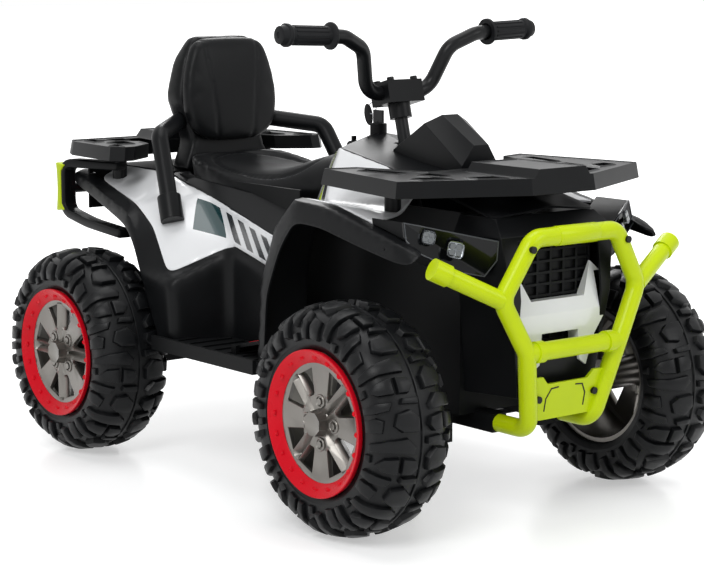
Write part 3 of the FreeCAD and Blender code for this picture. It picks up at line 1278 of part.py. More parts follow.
# Rear bumper frame: upper and lower arms with an upper crossbar; lime covers on its uprights
def make_rear_bumper():
    top = vec(REAR_BUMPER_X, REAR_BUMPER_HALF, REAR_TOP_Z)
    low = vec(REAR_BUMPER_X, REAR_BUMPER_HALF, REAR_BUMPER_LOW)
    side = tube([
        vec(REAR_ARM_TOP_X, POST_Y, REAR_TOP_Z), top, low,
        vec(REAR_ARM_X, REAR_BUMPER_HALF, REAR_ARM_Z),
        vec(REAR_ARM_X, TUB_HALF, REAR_ARM_Z)], REAR_TUBE, REAR_BEND)
    bar_z = REAR_TOP_Z - REAR_BEND * 2
    bar = rod(
        vec(REAR_BUMPER_X, -REAR_BUMPER_HALF, bar_z), vec(REAR_BUMPER_X, REAR_BUMPER_HALF, bar_z), REAR_TUBE)
    frame = fused(both_sides(side) + [bar])
    cover_x = REAR_BUMPER_X - REAR_TUBE - TRIM_LIME_THICK
    cover_low = vec(cover_x, REAR_BUMPER_HALF - TRIM_LIME_HALF, REAR_BUMPER_LOW)
    cover_high = vec(REAR_BUMPER_X, REAR_BUMPER_HALF + TRIM_LIME_HALF, REAR_TOP_Z)
    cover = largest(block(cover_low, cover_high).cut(frame))
    skins = both_sides(SIDE_PANEL) + both_sides(REAR_FENDER) + [PARTS["rear_rack"]]
    return largest(frame.cut(skins)), Part.makeCompound(both_sides(cover))


PARTS["rear_bumper_frame"], PARTS["rear_bumper_trim"] = make_rear_bumper()


# Tail lights on the rear valance
TAIL = block(
    vec(VALANCE_X - TUB_WALL - TAIL_LENGTH, TAIL_Y - TAIL_HALF, TAIL_Z - TAIL_HEIGHT / 2),
    vec(VALANCE_X - TUB_WALL, TAIL_Y + TAIL_HALF, TAIL_Z + TAIL_HEIGHT / 2))
PARTS["tail_lights"] = Part.makeCompound(both_sides(TAIL))

# Accelerator pedal on the right footboard, hinged at the heel on a fixed pin
PEDAL_Z = BOARD_TOP + PEDAL_LIFT
PEDAL_PIVOT = vec(PEDAL_PIVOT_X, -PEDAL_Y, PEDAL_Z)
PEDAL_REACH = AXIS_Y * PEDAL_HALF * 2
PEDAL_BORE = rod(PEDAL_PIVOT - PEDAL_REACH, PEDAL_PIVOT + PEDAL_REACH, PEDAL_PIVOT_RADIUS + RUN_CLEARANCE)
PEDAL = fused([
    rod(PEDAL_PIVOT - AXIS_Y * PEDAL_HALF, PEDAL_PIVOT + AXIS_Y * PEDAL_HALF, PEDAL_BARREL),
    block(PEDAL_PIVOT - AXIS_Y * PEDAL_HALF, PEDAL_PIVOT + vec(PEDAL_LENGTH, PEDAL_HALF, PEDAL_THICK)),
]).cut(PEDAL_BORE)
PARTS["accelerator_pedal"] = largest(PEDAL.rotated(PEDAL_PIVOT, AXIS_Y, -PEDAL_TILT))
LUG_OUT = PEDAL_HALF + STATIC_GAP
PIN_REACH = AXIS_Y * (LUG_OUT + PEDAL_LUG_WIDTH)
PEDAL_LUGS = [rod(PEDAL_PIVOT - PIN_REACH, PEDAL_PIVOT + PIN_REACH, PEDAL_PIVOT_RADIUS)]
for start in (LUG_OUT, -LUG_OUT - PEDAL_LUG_WIDTH):
    PEDAL_LUGS.append(block(
        PEDAL_PIVOT + vec(-PEDAL_BARREL, start, -PEDAL_LIFT - OVERRUN),
        PEDAL_PIVOT + vec(PEDAL_BARREL, start + PEDAL_LUG_WIDTH, PEDAL_BARREL)))


# Tub: floor, walls, deck, seat pan, footboards, kingpin ears and bearings in one moulding
def make_footboard():
    low = BOARD_TOP - BOARD_THICK
    board = block(vec(BOARD_REAR, MOTOR_END, low), vec(BOARD_FRONT, BOARD_REACH, BOARD_TOP))
    rim = block(
        vec(BOARD_REAR, BOARD_REACH - BOARD_RIM_WIDTH, low),
        vec(BOARD_FRONT, BOARD_REACH, BOARD_TOP + BOARD_RIM))
    hollow = block(
        vec(BOARD_REAR + TUB_WALL, TUB_HALF, low - OVERRUN),
        vec(BOARD_FRONT - TUB_WALL, BOARD_REACH - TUB_WALL, BOARD_TOP - TUB_WALL))
    ribs = []
    step = (BOARD_FRONT - BOARD_REAR) / (TREAD_RIBS + 1)
    inner = CORNER["wall_front"].y + TREAD_RIB_WIDTH
    outer = BOARD_REACH - BOARD_RIM_WIDTH * 2
    for n in range(1, TREAD_RIBS + 1):
        x = BOARD_REAR + n * step
        ribs.append(block(
            vec(x, inner, BOARD_TOP - TUB_WALL),
            vec(x + TREAD_RIB_WIDTH, outer, BOARD_TOP + TREAD_RIB_HEIGHT)))
    return fused([board.cut(hollow), rim] + ribs)


def make_ears():
    pieces = []
    wheel_low = AXLE_Z - KINGPIN_DROP
    wheel_high = AXLE_Z + KINGPIN_RISE
    rear = HALF_BASE - EAR_BRACE
    front = HALF_BASE + EAR_BRACE
    for low in (wheel_low, wheel_high - EAR_THICK):
        high = low + EAR_THICK
        pieces.append(block(vec(rear, MOTOR_END, low), vec(front, KINGPIN_Y, high)))
        pieces.append(rod(vec(HALF_BASE, KINGPIN_Y, low), vec(HALF_BASE, KINGPIN_Y, high), KINGPIN_BOSS))
    pieces.append(block(vec(rear, MOTOR_END - EAR_BRACE, wheel_low), vec(front, TUB_HALF, TUB_FLOOR)))
    return fused(pieces)


def make_chassis():
    bottom = TUB_FLOOR - TUB_WALL
    floor = block(vec(TUB_REAR, -TUB_HALF, bottom), vec(TUB_FRONT, TUB_HALF, TUB_FLOOR))
    wall = block(vec(TUB_REAR, MOTOR_END, bottom), vec(TUB_FRONT, TUB_HALF, TUB_TOP))
    ends = []
    for x in (TUB_REAR, TUB_FRONT - TUB_WALL):
        ends.append(block(vec(x, -TUB_HALF, bottom), vec(x + TUB_WALL, TUB_HALF, TUB_TOP)))
    deck_half = CORNER["inner_back"].y
    deck = block(vec(DECK_REAR, -deck_half, DECK_TOP - TUB_WALL), vec(DECK_FRONT, deck_half, DECK_TOP))
    pan_low = SEAT_PAN_TOP - TUB_WALL
    pan = block(vec(DECK_FRONT, -TUB_HALF, pan_low), vec(SEAT_PAN_FRONT, TUB_HALF, SEAT_PAN_TOP))
    step = block(vec(DECK_FRONT - TUB_WALL, -TUB_HALF, pan_low), vec(DECK_FRONT, TUB_HALF, DECK_TOP))
    valance_rear = VALANCE_X - TUB_WALL
    valance = block(vec(valance_rear, -VALANCE_HALF, VALANCE_LOW), vec(VALANCE_X, VALANCE_HALF, DECK_TOP))
    brace = block(vec(VALANCE_X, -TUB_HALF, VALANCE_LOW), vec(TUB_REAR, TUB_HALF, VALANCE_LOW + TUB_WALL))
    boss = rod(vec(-HALF_BASE, MOTOR_END - AXLE_BOSS, AXLE_Z), vec(-HALF_BASE, MOTOR_END, AXLE_Z), AXLE_BOSS)
    foot_y = bumper_point(BUMPER_SHARES[0]).y
    pad = block(
        vec(TUB_FRONT - BUMPER_DEPTH, foot_y - BUMPER_RADIUS, BUMPER_LOW - BUMPER_RADIUS),
        vec(BUMPER_X - BUMPER_DEPTH, foot_y + BUMPER_RADIUS, TUB_FLOOR))
    collar = tilted(rod(COLUMN_FOOT, COLUMN_FOOT + AXIS_Z * COLUMN_RADIUS * 4, COLUMN_RADIUS * 2))
    collar = collar.cut(block(vec(TUB_REAR, -TUB_HALF, 0), vec(TUB_FRONT, TUB_HALF, bottom)))
    pieces = [floor, deck, pan, step, valance, brace, collar] + ends + PEDAL_LUGS
    for shape in (wall, make_footboard(), make_ears(), boss, pad):
        pieces += both_sides(shape)
    body = fused(pieces)
    body = body.cut(block(
        vec(SEAT_PAN_FRONT, -TUB_HALF - OVERRUN, TANK_ROOM_LOW),
        vec(CORNER["tank_rear"].x, TUB_HALF + OVERRUN, BODY_HEIGHT)))
    bores = [tilted(rod(COLUMN_FOOT, COLUMN_FOOT + AXIS_Z * COLUMN_LENGTH, COLUMN_RADIUS + RUN_CLEARANCE))]
    for x, z, radius in ((-HALF_BASE, AXLE_Z, AXLE_RADIUS), (PINION_X, PINION_Z, PINION_SHAFT)):
        bores.append(rod(vec(x, -AXLE_REACH, z), vec(x, AXLE_REACH, z), radius + RUN_CLEARANCE))
    for y in (-KINGPIN_Y, KINGPIN_Y):
        foot = vec(HALF_BASE, y, 0)
        bores.append(rod(foot, foot + AXIS_Z * BODY_HEIGHT / 2, KINGPIN_RADIUS + RUN_CLEARANCE))
    skins = []
    for shape in (SIDE_PANEL, REAR_FENDER, FRONT_FENDER, FRONT_PANEL, SKIRT_SKIN, LAMP_HOUSING):
        skins += both_sides(shape)
    neighbours = (
        "rear_rack", "front_rack", "rear_bumper_frame", "drive_motors", "gearbox_cases", "tail_lights",
        "backrest", "ignition_switch")
    skins += [HOOD, FASCIA] + [PARTS[name] for name in neighbours]
    return largest(body.cut(bores).cut(skins))


PARTS["chassis"] = make_chassis()

# Screws: on the bumper hoop's upper bends and through the skid plate
HOOP_SCREW = bumper_point(HOOP_SCREW_SHARE)
PLATE_SCREW = (PLATE_CORNERS[0] + PLATE_CORNERS[1]) * (1 / 2)
PLATE_SCREW = vec(PLATE_SCREW.x, PLATE_SCREW.y - BUMPER_RADIUS - SCREW_RADIUS, PLATE_SCREW.z)
SCREWS = []
for point, depth in ((HOOP_SCREW, BUMPER_RADIUS), (PLATE_SCREW, SCREW_HEIGHT)):
    head = rod(point, point + AXIS_X * (depth + SCREW_HEIGHT), SCREW_RADIUS)
    SCREWS += both_sides(largest(head.cut(PARTS["front_bumper"])))
PARTS["body_screws"] = Part.makeCompound(SCREWS)

os.makedirs("parts", exist_ok=True)
for name, shape in PARTS.items():
    shape.exportStep("parts/" + name + ".step")
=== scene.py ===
import bpy
import bmesh
import json
import math
from mathutils import Matrix, Vector
from mathutils.bvhtree import BVHTree
from mathutils.kdtree import KDTree


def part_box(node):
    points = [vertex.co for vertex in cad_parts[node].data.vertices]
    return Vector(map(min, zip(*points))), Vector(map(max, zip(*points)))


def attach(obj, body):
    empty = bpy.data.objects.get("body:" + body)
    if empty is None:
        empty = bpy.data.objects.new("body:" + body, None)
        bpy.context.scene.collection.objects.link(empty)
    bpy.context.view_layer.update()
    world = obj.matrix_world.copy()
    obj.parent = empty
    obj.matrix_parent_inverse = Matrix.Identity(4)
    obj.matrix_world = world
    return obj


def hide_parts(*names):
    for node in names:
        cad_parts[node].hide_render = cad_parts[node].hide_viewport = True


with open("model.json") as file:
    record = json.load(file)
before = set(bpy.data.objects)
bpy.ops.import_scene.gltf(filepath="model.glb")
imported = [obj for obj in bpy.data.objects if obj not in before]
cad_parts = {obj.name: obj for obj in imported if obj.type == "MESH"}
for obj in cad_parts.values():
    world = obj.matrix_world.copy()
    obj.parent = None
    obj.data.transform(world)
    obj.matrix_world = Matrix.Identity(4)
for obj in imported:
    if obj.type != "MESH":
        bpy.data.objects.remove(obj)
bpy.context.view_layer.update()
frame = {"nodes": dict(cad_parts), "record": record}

# Tub with its footboards: one big blow-moulded shell of black polypropylene.
# Floor, walls, seat pan and ribbed footboards come out of the same mould, with
# a fine spark-eroded grain and softly rounded rims.


def linear(code):
    """sRGB hex colour to linear RGBA."""
    parts = [int(code[n:n + 2], 16) / 255 for n in (1, 3, 5)]
    return [c / 12.92 if c <= 0.04045 else ((c + 0.055) / 1.055) ** 2.4 for c in parts] + [1.0]


def add(tree, kind, values=None, links=None, **settings):
    """Adds one node with its settings, socket values and links."""
    made = tree.nodes.new(kind)
    for name, value in settings.items():
        setattr(made, name, value)
    for name, value in (values or {}).items():
        made.inputs[name].default_value = value
    for name, source in (links or {}).items():
        tree.links.new(source, made.inputs[name])
    return made


def new_material(name, metallic=0.0, ior=1.5, specular=0.5, coat=0.0, coat_rough=0.1, sheen=0.0):
    """Empty principled material with object coordinates, and the sockets that stay the same all over."""
    material = bpy.data.materials.new(name)
    material.use_nodes = True
    tree = material.node_tree
    tree.nodes.clear()
    surface = add(tree, "ShaderNodeBsdfPrincipled", {
        "Metallic": metallic, "IOR": ior, "Specular IOR Level": specular, "Coat Weight": coat,
        "Coat Roughness": coat_rough, "Sheen Weight": sheen})
    add(tree, "ShaderNodeOutputMaterial", links={"Surface": surface.outputs["BSDF"]})
    where = add(tree, "ShaderNodeTexCoord").outputs["Object"]
    return material, tree, surface, where


CLOUD_MM = 60.0


def shade(tree, surface, where, dark, light, rough, grain_mm, grain_height_mm):
    """Colour and gloss that drift slowly over the moulding, and the fine grain of the mould's wall."""
    cloud = add(tree, "ShaderNodeTexNoise", {"Scale": 1000.0 / CLOUD_MM, "Detail": 3.0}, {"Vector": where})
    drift = cloud.outputs["Fac"]
    colour = add(tree, "ShaderNodeMix", {6: linear(dark), 7: linear(light)}, {0: drift}, data_type="RGBA")
    gloss = add(tree, "ShaderNodeMapRange", {"To Min": rough[0], "To Max": rough[1]}, {"Value": drift})
    grain = add(tree, "ShaderNodeTexNoise", {"Scale": 1000.0 / grain_mm, "Detail": 2.0}, {"Vector": where})
    bump = add(tree, "ShaderNodeBump", {"Strength": 1.0, "Distance": grain_height_mm / 1000.0},
               {"Height": grain.outputs["Fac"]})
    tree.links.new(colour.outputs[2], surface.inputs["Base Color"])
    tree.links.new(gloss.outputs["Result"], surface.inputs["Roughness"])
    tree.links.new(bump.outputs["Normal"], surface.inputs["Normal"])
    return colour


def plain(name, dark, light, rough, grain_mm, grain_height_mm, **sockets):
    """A material of one colour, from its two tones, its roughness and its grain's size and height."""
    material, tree, surface, where = new_material(name, **sockets)
    shade(tree, surface, where, dark, light, rough, grain_mm, grain_height_mm)
    return material


def finish_piece(mesh, name, body, material, sharp=40.0):
    for polygon in mesh.polygons:
        polygon.use_smooth = True
    mesh.set_sharp_from_angle(angle=math.radians(sharp))
    mesh.materials.clear()
    mesh.materials.append(material)
    piece = bpy.data.objects.new(name, mesh)
    bpy.context.scene.collection.objects.link(piece)
    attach(piece, body)
    return piece


def joined_mesh(node):
    """The node's loose triangles as one joined bmesh with flat faces kept whole."""
    shape = bmesh.new()
    shape.from_mesh(frame["nodes"][node].data)
    bmesh.ops.remove_doubles(shape, verts=shape.verts, dist=0.00002)
    bmesh.ops.dissolve_limit(shape, angle_limit=math.radians(0.6), verts=shape.verts, edges=shape.edges)
    return shape


def body_of(node):
    for body, nodes in frame["record"]["behaviour"]["bodies"].items():
        if node in nodes:
            return body


def new_piece(shape, name, body, material, sharp=40.0):
    """Turns a finished bmesh into a piece."""
    mesh = bpy.data.meshes.new(name)
    shape.to_mesh(mesh)
    shape.free()
    return finish_piece(mesh, name, body, material, sharp)


def hard_edges(shape, degrees):
    """Edges between two faces that meet at more than this angle."""
    least = math.radians(degrees)
    return [edge for edge in shape.edges if edge.is_manifold and edge.calc_face_angle() > least]


def soften(shape, edges, width, segments=2, clamp=False):
    """Rounds off edges of a shape."""
    bmesh.ops.bevel(shape, geom=edges, offset=width, segments=segments, profile=0.5, affect="EDGES",
                    clamp_overlap=clamp, material=-1)


def skin_of(node, shape, material):
    """A worked copy of a CAD node as its stand-in, with shading that keeps its flats flat."""
    piece = new_piece(shape, node + "_skin", body_of(node), material)
    normals = piece.modifiers.new("normals", "WEIGHTED_NORMAL")
    normals.keep_sharp = True
    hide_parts(node)


def rounded(node, material, width_mm, segments=2):
    """A CAD node with its hard edges rounded, standing in for the node."""
    shape = joined_mesh(node)
    soften(shape, hard_edges(shape, 25.0), width_mm / 1000.0, segments, clamp=True)
    skin_of(node, shape, material)


# black polypropylene, spark-eroded mould: dark, dull, with a grain of about 0.9 mm
black_pp = plain("grained_polypropylene", "#0a0b0c", "#101112", (0.40, 0.54), 0.9, 0.05, specular=0.10)
# smoother black polypropylene on the fenders: a low sheen with hardly any grain
fender_pp = plain("satin_polypropylene", "#0b0c0d", "#111214", (0.30, 0.40), 1.2, 0.02, specular=0.13)
rounded("chassis", black_pp, 1.2)

# Drive: dead steel axle with nuts, nylon gears, steel pinions, motors and battery.
# They sit under the tub and behind the wheels, in plain factory finishes.
# zinc plating: grey, fairly smooth, faintly clouded
zinc = plain("zinc_plated_steel", "#8d9095", "#a9acb0", (0.28, 0.40), 1.5, 0.01, metallic=1.0)
# natural nylon: milky cream, softly shining
nylon = plain("natural_nylon", "#cfcabb", "#dcd8cb", (0.40, 0.50), 1.0, 0.01)
# battery case: dark grey ABS, fine grain
battery_abs = plain("dark_grey_abs", "#2a2d33", "#343840", (0.35, 0.45), 1.0, 0.02)
for node in ("rear_axle", "drive_motors", "motor_pinion_left", "motor_pinion_right"):
    rounded(node, zinc, 0.3)
for node in ("drive_gear_left", "drive_gear_right"):
    rounded(node, nylon, 0.3)
rounded("gearbox_cases", black_pp, 2.0)
rounded("battery", battery_abs, 3.0)

# Steering under the tub: welded knuckles with stub axles, a flat tie rod and the column.
# All are mild steel under a satin black powder coat.
# powder coat: satin black with a slight orange peel
powder_black = plain("powder_coated_steel", "#0e0f10", "#151618", (0.28, 0.38), 0.8, 0.03, specular=0.18)
for node in ("knuckle_left", "knuckle_right", "tie_rod", "steering_column"):
    rounded(node, powder_black, 0.8)

# Tyres: blow-moulded black tyres with a round carcass and nine repeats of angular tread blocks.
# The two halves of the mould leave a raised line round the middle, and the pattern is staggered across it.
WHEELS = [("front_left", 1, 1), ("front_right", 1, -1), ("rear_left", -1, 1), ("rear_right", -1, -1)]
MM = 0.001
TYRE_LOW, TYRE_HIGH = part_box("tyre_front_left")
TYRE_REACH = (TYRE_HIGH.z - TYRE_LOW.z) / 2
TYRE_HALF = (TYRE_HIGH.y - TYRE_LOW.y) / 2
TYRE_MIDDLE = (TYRE_LOW + TYRE_HIGH) / 2
TREAD_DEPTH = 8.0 * MM
CROWN_RADIUS = TYRE_REACH - TREAD_DEPTH
SHOULDER_RADIUS = 120.0 * MM
BEAD_SEAT = 102.2 * MM
BEAD_HALF = 56.0 * MM
TREAD_REPEATS = 9
BLOCK_ROOT_MM = 3.0
BLOCK_DRAFT = (0.86, 0.88, 1.0)
BLOCK_EDGE = 1.3 * MM
TREAD_REACH_MM = 100
CARCASS_STEPS = 48
TYRE_STEPS = 108
PITCH_MM = 2 * math.pi * CROWN_RADIUS / MM / TREAD_REPEATS
# outlines of the blocks of one repeat, in mm along the tread and out from its middle, and their heights
TREAD_BLOCKS = [
    ([(1, 17), (11, 8), (23, 12), (27, 33), (2, 33)], 8.0),
    ([(2, 36), (27, 36), (25, 56), (13, 68), (4, 58)], 7.6),
    ([(30, 14), (40, 10), (54, 24), (52, 52), (44, 80), (31, 82), (33, 50)], 7.0),
    ([(58, 8), (78, 6), (92, 20), (88, 40), (70, 46), (60, 34)], 8.0),
    ([(60, 58), (80, 54), (86, 66), (82, 84), (60, 86)], 5.6),
    ([(92, 46), (104, 40), (107, 64), (104, 85), (91, 86), (90, 66)], 6.4),
    ([(10, 74), (24, 75), (22, 86), (8, 86)], 4.4),
    ([(96, 4.5), (106, 4.5), (107, 30), (99, 33)], 7.0),
]


def carcass_at(across_mm):
    """Point of the carcass so far out from its middle along its own curve, and its outward normal."""
    reach = CROWN_RADIUS - SHOULDER_RADIUS
    travel = 0.0
    previous = (0.0, CROWN_RADIUS)
    for n in range(1, CARCASS_STEPS + 1):
        turn = math.pi / 2 * n / CARCASS_STEPS
        point = (TYRE_HALF * math.sin(turn) ** 0.82, SHOULDER_RADIUS + reach * math.cos(turn) ** 0.72)
        length = math.dist(point, previous)
        if travel + length >= across_mm * MM or n == CARCASS_STEPS:
            part = (across_mm * MM - travel) / length
            out = ((point[1] - previous[1]) / -length, (point[0] - previous[0]) / length)
            return [previous[k] + (point[k] - previous[k]) * part for k in (0, 1)], out
        travel += length
        previous = point


def wrapped(point, side):
    """A point given as along, across and height in metres, laid onto the tyre's carcass."""
    (across, radius), (out_across, out_radius) = carcass_at(point.y / MM)
    radius += out_radius * point.z
    turn = point.x / CROWN_RADIUS
    return Vector((radius * math.sin(turn), side * (across + out_across * point.z), radius * math.cos(turn)))


def everything(shape):
    return shape.verts[:] + shape.edges[:] + shape.faces[:]


def put_in(shape, added):
    """Moves one bmesh into another."""
    mesh = bpy.data.meshes.new("added")
    added.to_mesh(mesh)
    added.free()
    shape.from_mesh(mesh)
    bpy.data.meshes.remove(mesh)


def tread_block(shape, outline, height_mm, side, shift_mm):
    """One drafted block, cut into short lengths and bent round the tyre."""
    block = bmesh.new()
    root = -BLOCK_ROOT_MM * MM
    base = [block.verts.new(((along + shift_mm) * MM, across * MM, root)) for along, across in outline]
    raised = bmesh.ops.extrude_face_region(block, geom=[block.faces.new(base)])["geom"]
    top = [item for item in raised if isinstance(item, bmesh.types.BMVert)]
    middle = sum((vert.co for vert in top), Vector()) / len(top)
    bmesh.ops.scale(block, verts=top, vec=BLOCK_DRAFT, space=Matrix.Translation(-middle))
    bmesh.ops.translate(block, verts=top, vec=(0, 0, (height_mm + BLOCK_ROOT_MM) * MM))
    crests = [edge for edge in block.edges if all(vert in top for vert in edge.verts)]
    soften(block, crests, BLOCK_EDGE)
    for across in range(0, TREAD_REACH_MM, 12):
        bmesh.ops.bisect_plane(block, geom=everything(block), dist=0.00001, plane_co=(0, across * MM, 0),
                               plane_no=(0, 1, 0))
    for along in range(0, int(2 * PITCH_MM), 14):
        bmesh.ops.bisect_plane(block, geom=everything(block), dist=0.00001, plane_co=(along * MM, 0, 0),
                               plane_no=(1, 0, 0))
    for vert in block.verts:
        vert.co = wrapped(vert.co, side)
    bmesh.ops.recalc_face_normals(block, faces=block.faces)
    put_in(shape, block)


def tyre_mesh():
    """Carcass turned from its section, with the mould line, and one repeat of blocks spun round it."""
    blocks = bmesh.new()
    for side, shift in ((1, 0.0), (-1, PITCH_MM / 2)):
        for outline, height in TREAD_BLOCKS:
            tread_block(blocks, outline, height, side, shift)
    bmesh.ops.spin(blocks, geom=everything(blocks), cent=(0, 0, 0), axis=(0, 1, 0), steps=TREAD_REPEATS - 1,
                   angle=2 * math.pi * (TREAD_REPEATS - 1) / TREAD_REPEATS, use_duplicate=True)
    half = [(0.0, CROWN_RADIUS + 2.6 * MM), (1.6 * MM, CROWN_RADIUS + 2.2 * MM), (2.6 * MM, CROWN_RADIUS)]
    half += [carcass_at(across)[0] for across in range(6, 92, 4)]
    half += [(TYRE_HALF, 116.0 * MM), (TYRE_HALF * 0.985, 111.0 * MM), (TYRE_HALF * 0.965, 108.5 * MM),
             (TYRE_HALF * 0.955, 105.0 * MM), (BEAD_HALF, BEAD_SEAT)]
    section = half[::-1] + [(-across, radius) for across, radius in half[1:]]
    carcass = bmesh.new()
    points = [carcass.verts.new((0, across, radius)) for across, radius in section]
    edges = [carcass.edges.new(pair) for pair in zip(points, points[1:] + points[:1])]
    bmesh.ops.spin(carcass, geom=points + edges, cent=(0, 0, 0), axis=(0, 1, 0), angle=2 * math.pi,
                   steps=TYRE_STEPS, use_merge=True)
    bmesh.ops.remove_doubles(carcass, verts=carcass.verts, dist=0.00001)
    bmesh.ops.recalc_face_normals(carcass, faces=carcass.faces)
    put_in(blocks, carcass)
    return blocks


def set_wheels(shape, kind, finish, turns, material, sharp):
    """A shape built round the origin, set at each corner in place of the CAD nodes of its kind."""
    for (place, end, side), turn in zip(WHEELS, turns):
        node = kind + "_" + place
        mesh = bpy.data.meshes.new(node + "_" + finish)
        shape.to_mesh(mesh)
        if side < 0:
            mesh.transform(Matrix.Rotation(math.pi, 4, "Z"))
        corner = Matrix.Translation((end * TYRE_MIDDLE.x, side * TYRE_MIDDLE.y, TYRE_MIDDLE.z))
        mesh.transform(corner @ Matrix.Rotation(math.radians(turn), 4, "Y"))
        piece = finish_piece(mesh, mesh.name, body_of(node), material, sharp)
        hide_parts(node)
    shape.free()


# tyre compound: near black, dull, with pits of about 1.4 mm and thin rings turned into the side wall
SIDE_RING = 6.0 * MM
PIT_MM = 1.43
RUBBER_CLOUD_MM = 45.5
tyre_rubber, tree, surface, where = new_material("tyre_rubber", ior=1.52, specular=0.18)
axes = add(tree, "ShaderNodeSeparateXYZ", links={"Vector": where})
along = add(tree, "ShaderNodeMath", links={0: axes.outputs["X"]}, operation="ABSOLUTE")
along = add(tree, "ShaderNodeMath", {1: TYRE_MIDDLE.x}, {0: along.outputs[0]}, operation="SUBTRACT")
up = add(tree, "ShaderNodeMath", {1: TYRE_MIDDLE.z}, {0: axes.outputs["Z"]}, operation="SUBTRACT")
flat = add(tree, "ShaderNodeCombineXYZ", links={"X": along.outputs[0], "Y": up.outputs[0]})
reach = add(tree, "ShaderNodeVectorMath", links={0: flat.outputs[0]}, operation="LENGTH")
rings = add(tree, "ShaderNodeMath", {1: 2 * math.pi / SIDE_RING}, {0: reach.outputs["Value"]},
            operation="MULTIPLY")
rings = add(tree, "ShaderNodeMath", links={0: rings.outputs[0]}, operation="SINE")
pits = add(tree, "ShaderNodeTexNoise", {"Scale": 1000.0 / PIT_MM, "Detail": 3.0}, {"Vector": where})
cloud = add(tree, "ShaderNodeTexNoise", {"Scale": 1000.0 / RUBBER_CLOUD_MM, "Detail": 4.0}, {"Vector": where})
height = add(tree, "ShaderNodeMath", {1: 0.12}, {0: rings.outputs[0], 2: pits.outputs["Fac"]},
             operation="MULTIPLY_ADD")
bump = add(tree, "ShaderNodeBump", {"Strength": 1.0, "Distance": 0.00012}, {"Height": height.outputs[0]})
tint = add(tree, "ShaderNodeMix", {6: linear("#0b0c0d"), 7: linear("#131416")}, {0: cloud.outputs["Fac"]},
           data_type="RGBA")
gloss = add(tree, "ShaderNodeMapRange", {"To Min": 0.30, "To Max": 0.44}, {"Value": cloud.outputs["Fac"]})
tree.links.new(tint.outputs[2], surface.inputs["Base Color"])
tree.links.new(gloss.outputs["Result"], surface.inputs["Roughness"])
tree.links.new(bump.outputs["Normal"], surface.inputs["Normal"])
TYRE_TURNS = (11, 28, 45, 62)
set_wheels(tyre_mesh(), "tyre", "rubber", TYRE_TURNS, tyre_rubber, 30.0)

# Rims: moulded wheels in gunmetal lacquer. Four wide flat spokes carry the wheel bolts, four V-shaped
# ribs lie between them, and a tall octagonal cap hides the nut; a red ring with bolt heads clamps the bead.
FACE_MM = 50.0
RIM_FACE = FACE_MM * MM
RIM_WALL = 8.0 * MM
# half a spoke's face as radius in mm, degrees from the spoke's middle and mm out from the wheel's face
SPOKE_LINES = [
    [(14, 0, 0), (39, 0, 0), (77, 0, 0), (81, 0, 2), (88, 0, 3)],
    [(14, 24, 0), (39, 20, 0), (77, 14.5, 0), (81, 14.5, 2), (88, 14.5, 3)],
    [(14, 36, 1), (39, 33, 3), (77, 39, 2), (81, 39, 2), (88, 39, 3)],
    [(14, 45, -3), (39, 45, -9), (77, 45, -9), (81, 45, 2), (88, 45, 3)],
]
# the open window starts at this line and this radius
WINDOW = (1, 1)
# sections turned round an axis, as radius and mm outwards
BARREL = [(82, FACE_MM - 1), (84, FACE_MM + 3), (98, FACE_MM + 3), (101.5, FACE_MM + 1), (101.5, -51),
          (95, -51), (95, FACE_MM - 6), (88, FACE_MM - 4)]
HUB = [(7, FACE_MM - 6), (24, FACE_MM - 6), (24, -38), (7, -38)]
BOLT_SEAT = [(10, -2), (10, 1.2), (9.2, 2.0), (7.6, 2.0), (6.8, 1.2), (6.4, -2)]
BOLT_CIRCLE = 30
RING_SECTION = [(102.6, 58), (103.4, 61), (103.2, 64.8), (102.0, 65.6), (100.2, 65.2), (85.0, 54.6),
                (83.8, 53.4), (83.8, 52.0), (86.0, 51.6)]
RING_BOLTS = 20
RING_BOLT_PLACE = Vector((0, 60.2, 92.8)) * MM
RING_SLOPE = math.atan2(10.6, 15.2)


def polar(radius_mm, degrees, out_mm):
    """A point on the wheel's face."""
    turn = math.radians(degrees)
    flat = Vector((math.sin(turn) * radius_mm, 0, math.cos(turn) * radius_mm)) * MM
    return flat + Vector((0, out_mm * MM + RIM_FACE, 0))


def spun_profile(shape, profile_mm, steps, centre=(0, 0, 0)):
    """A closed ring turned round the axle from radius and outward pairs."""
    points = [shape.verts.new((centre[0], centre[1] + out * MM, centre[2] + radius * MM))
              for radius, out in profile_mm]
    edges = [shape.edges.new(pair) for pair in zip(points, points[1:] + points[:1])]
    bmesh.ops.spin(shape, geom=points + edges, cent=centre, axis=(0, 1, 0), angle=2 * math.pi, steps=steps,
                   use_merge=True)


def stub(shape, place, sides, foot_mm, top_mm, tall_mm):
    """A stub with flat sides that narrows to its top."""
    made = bmesh.ops.create_cone(shape, cap_ends=True, segments=sides, radius1=foot_mm * MM,
                                 radius2=top_mm * MM, depth=tall_mm * MM, matrix=place)
    return made["verts"]


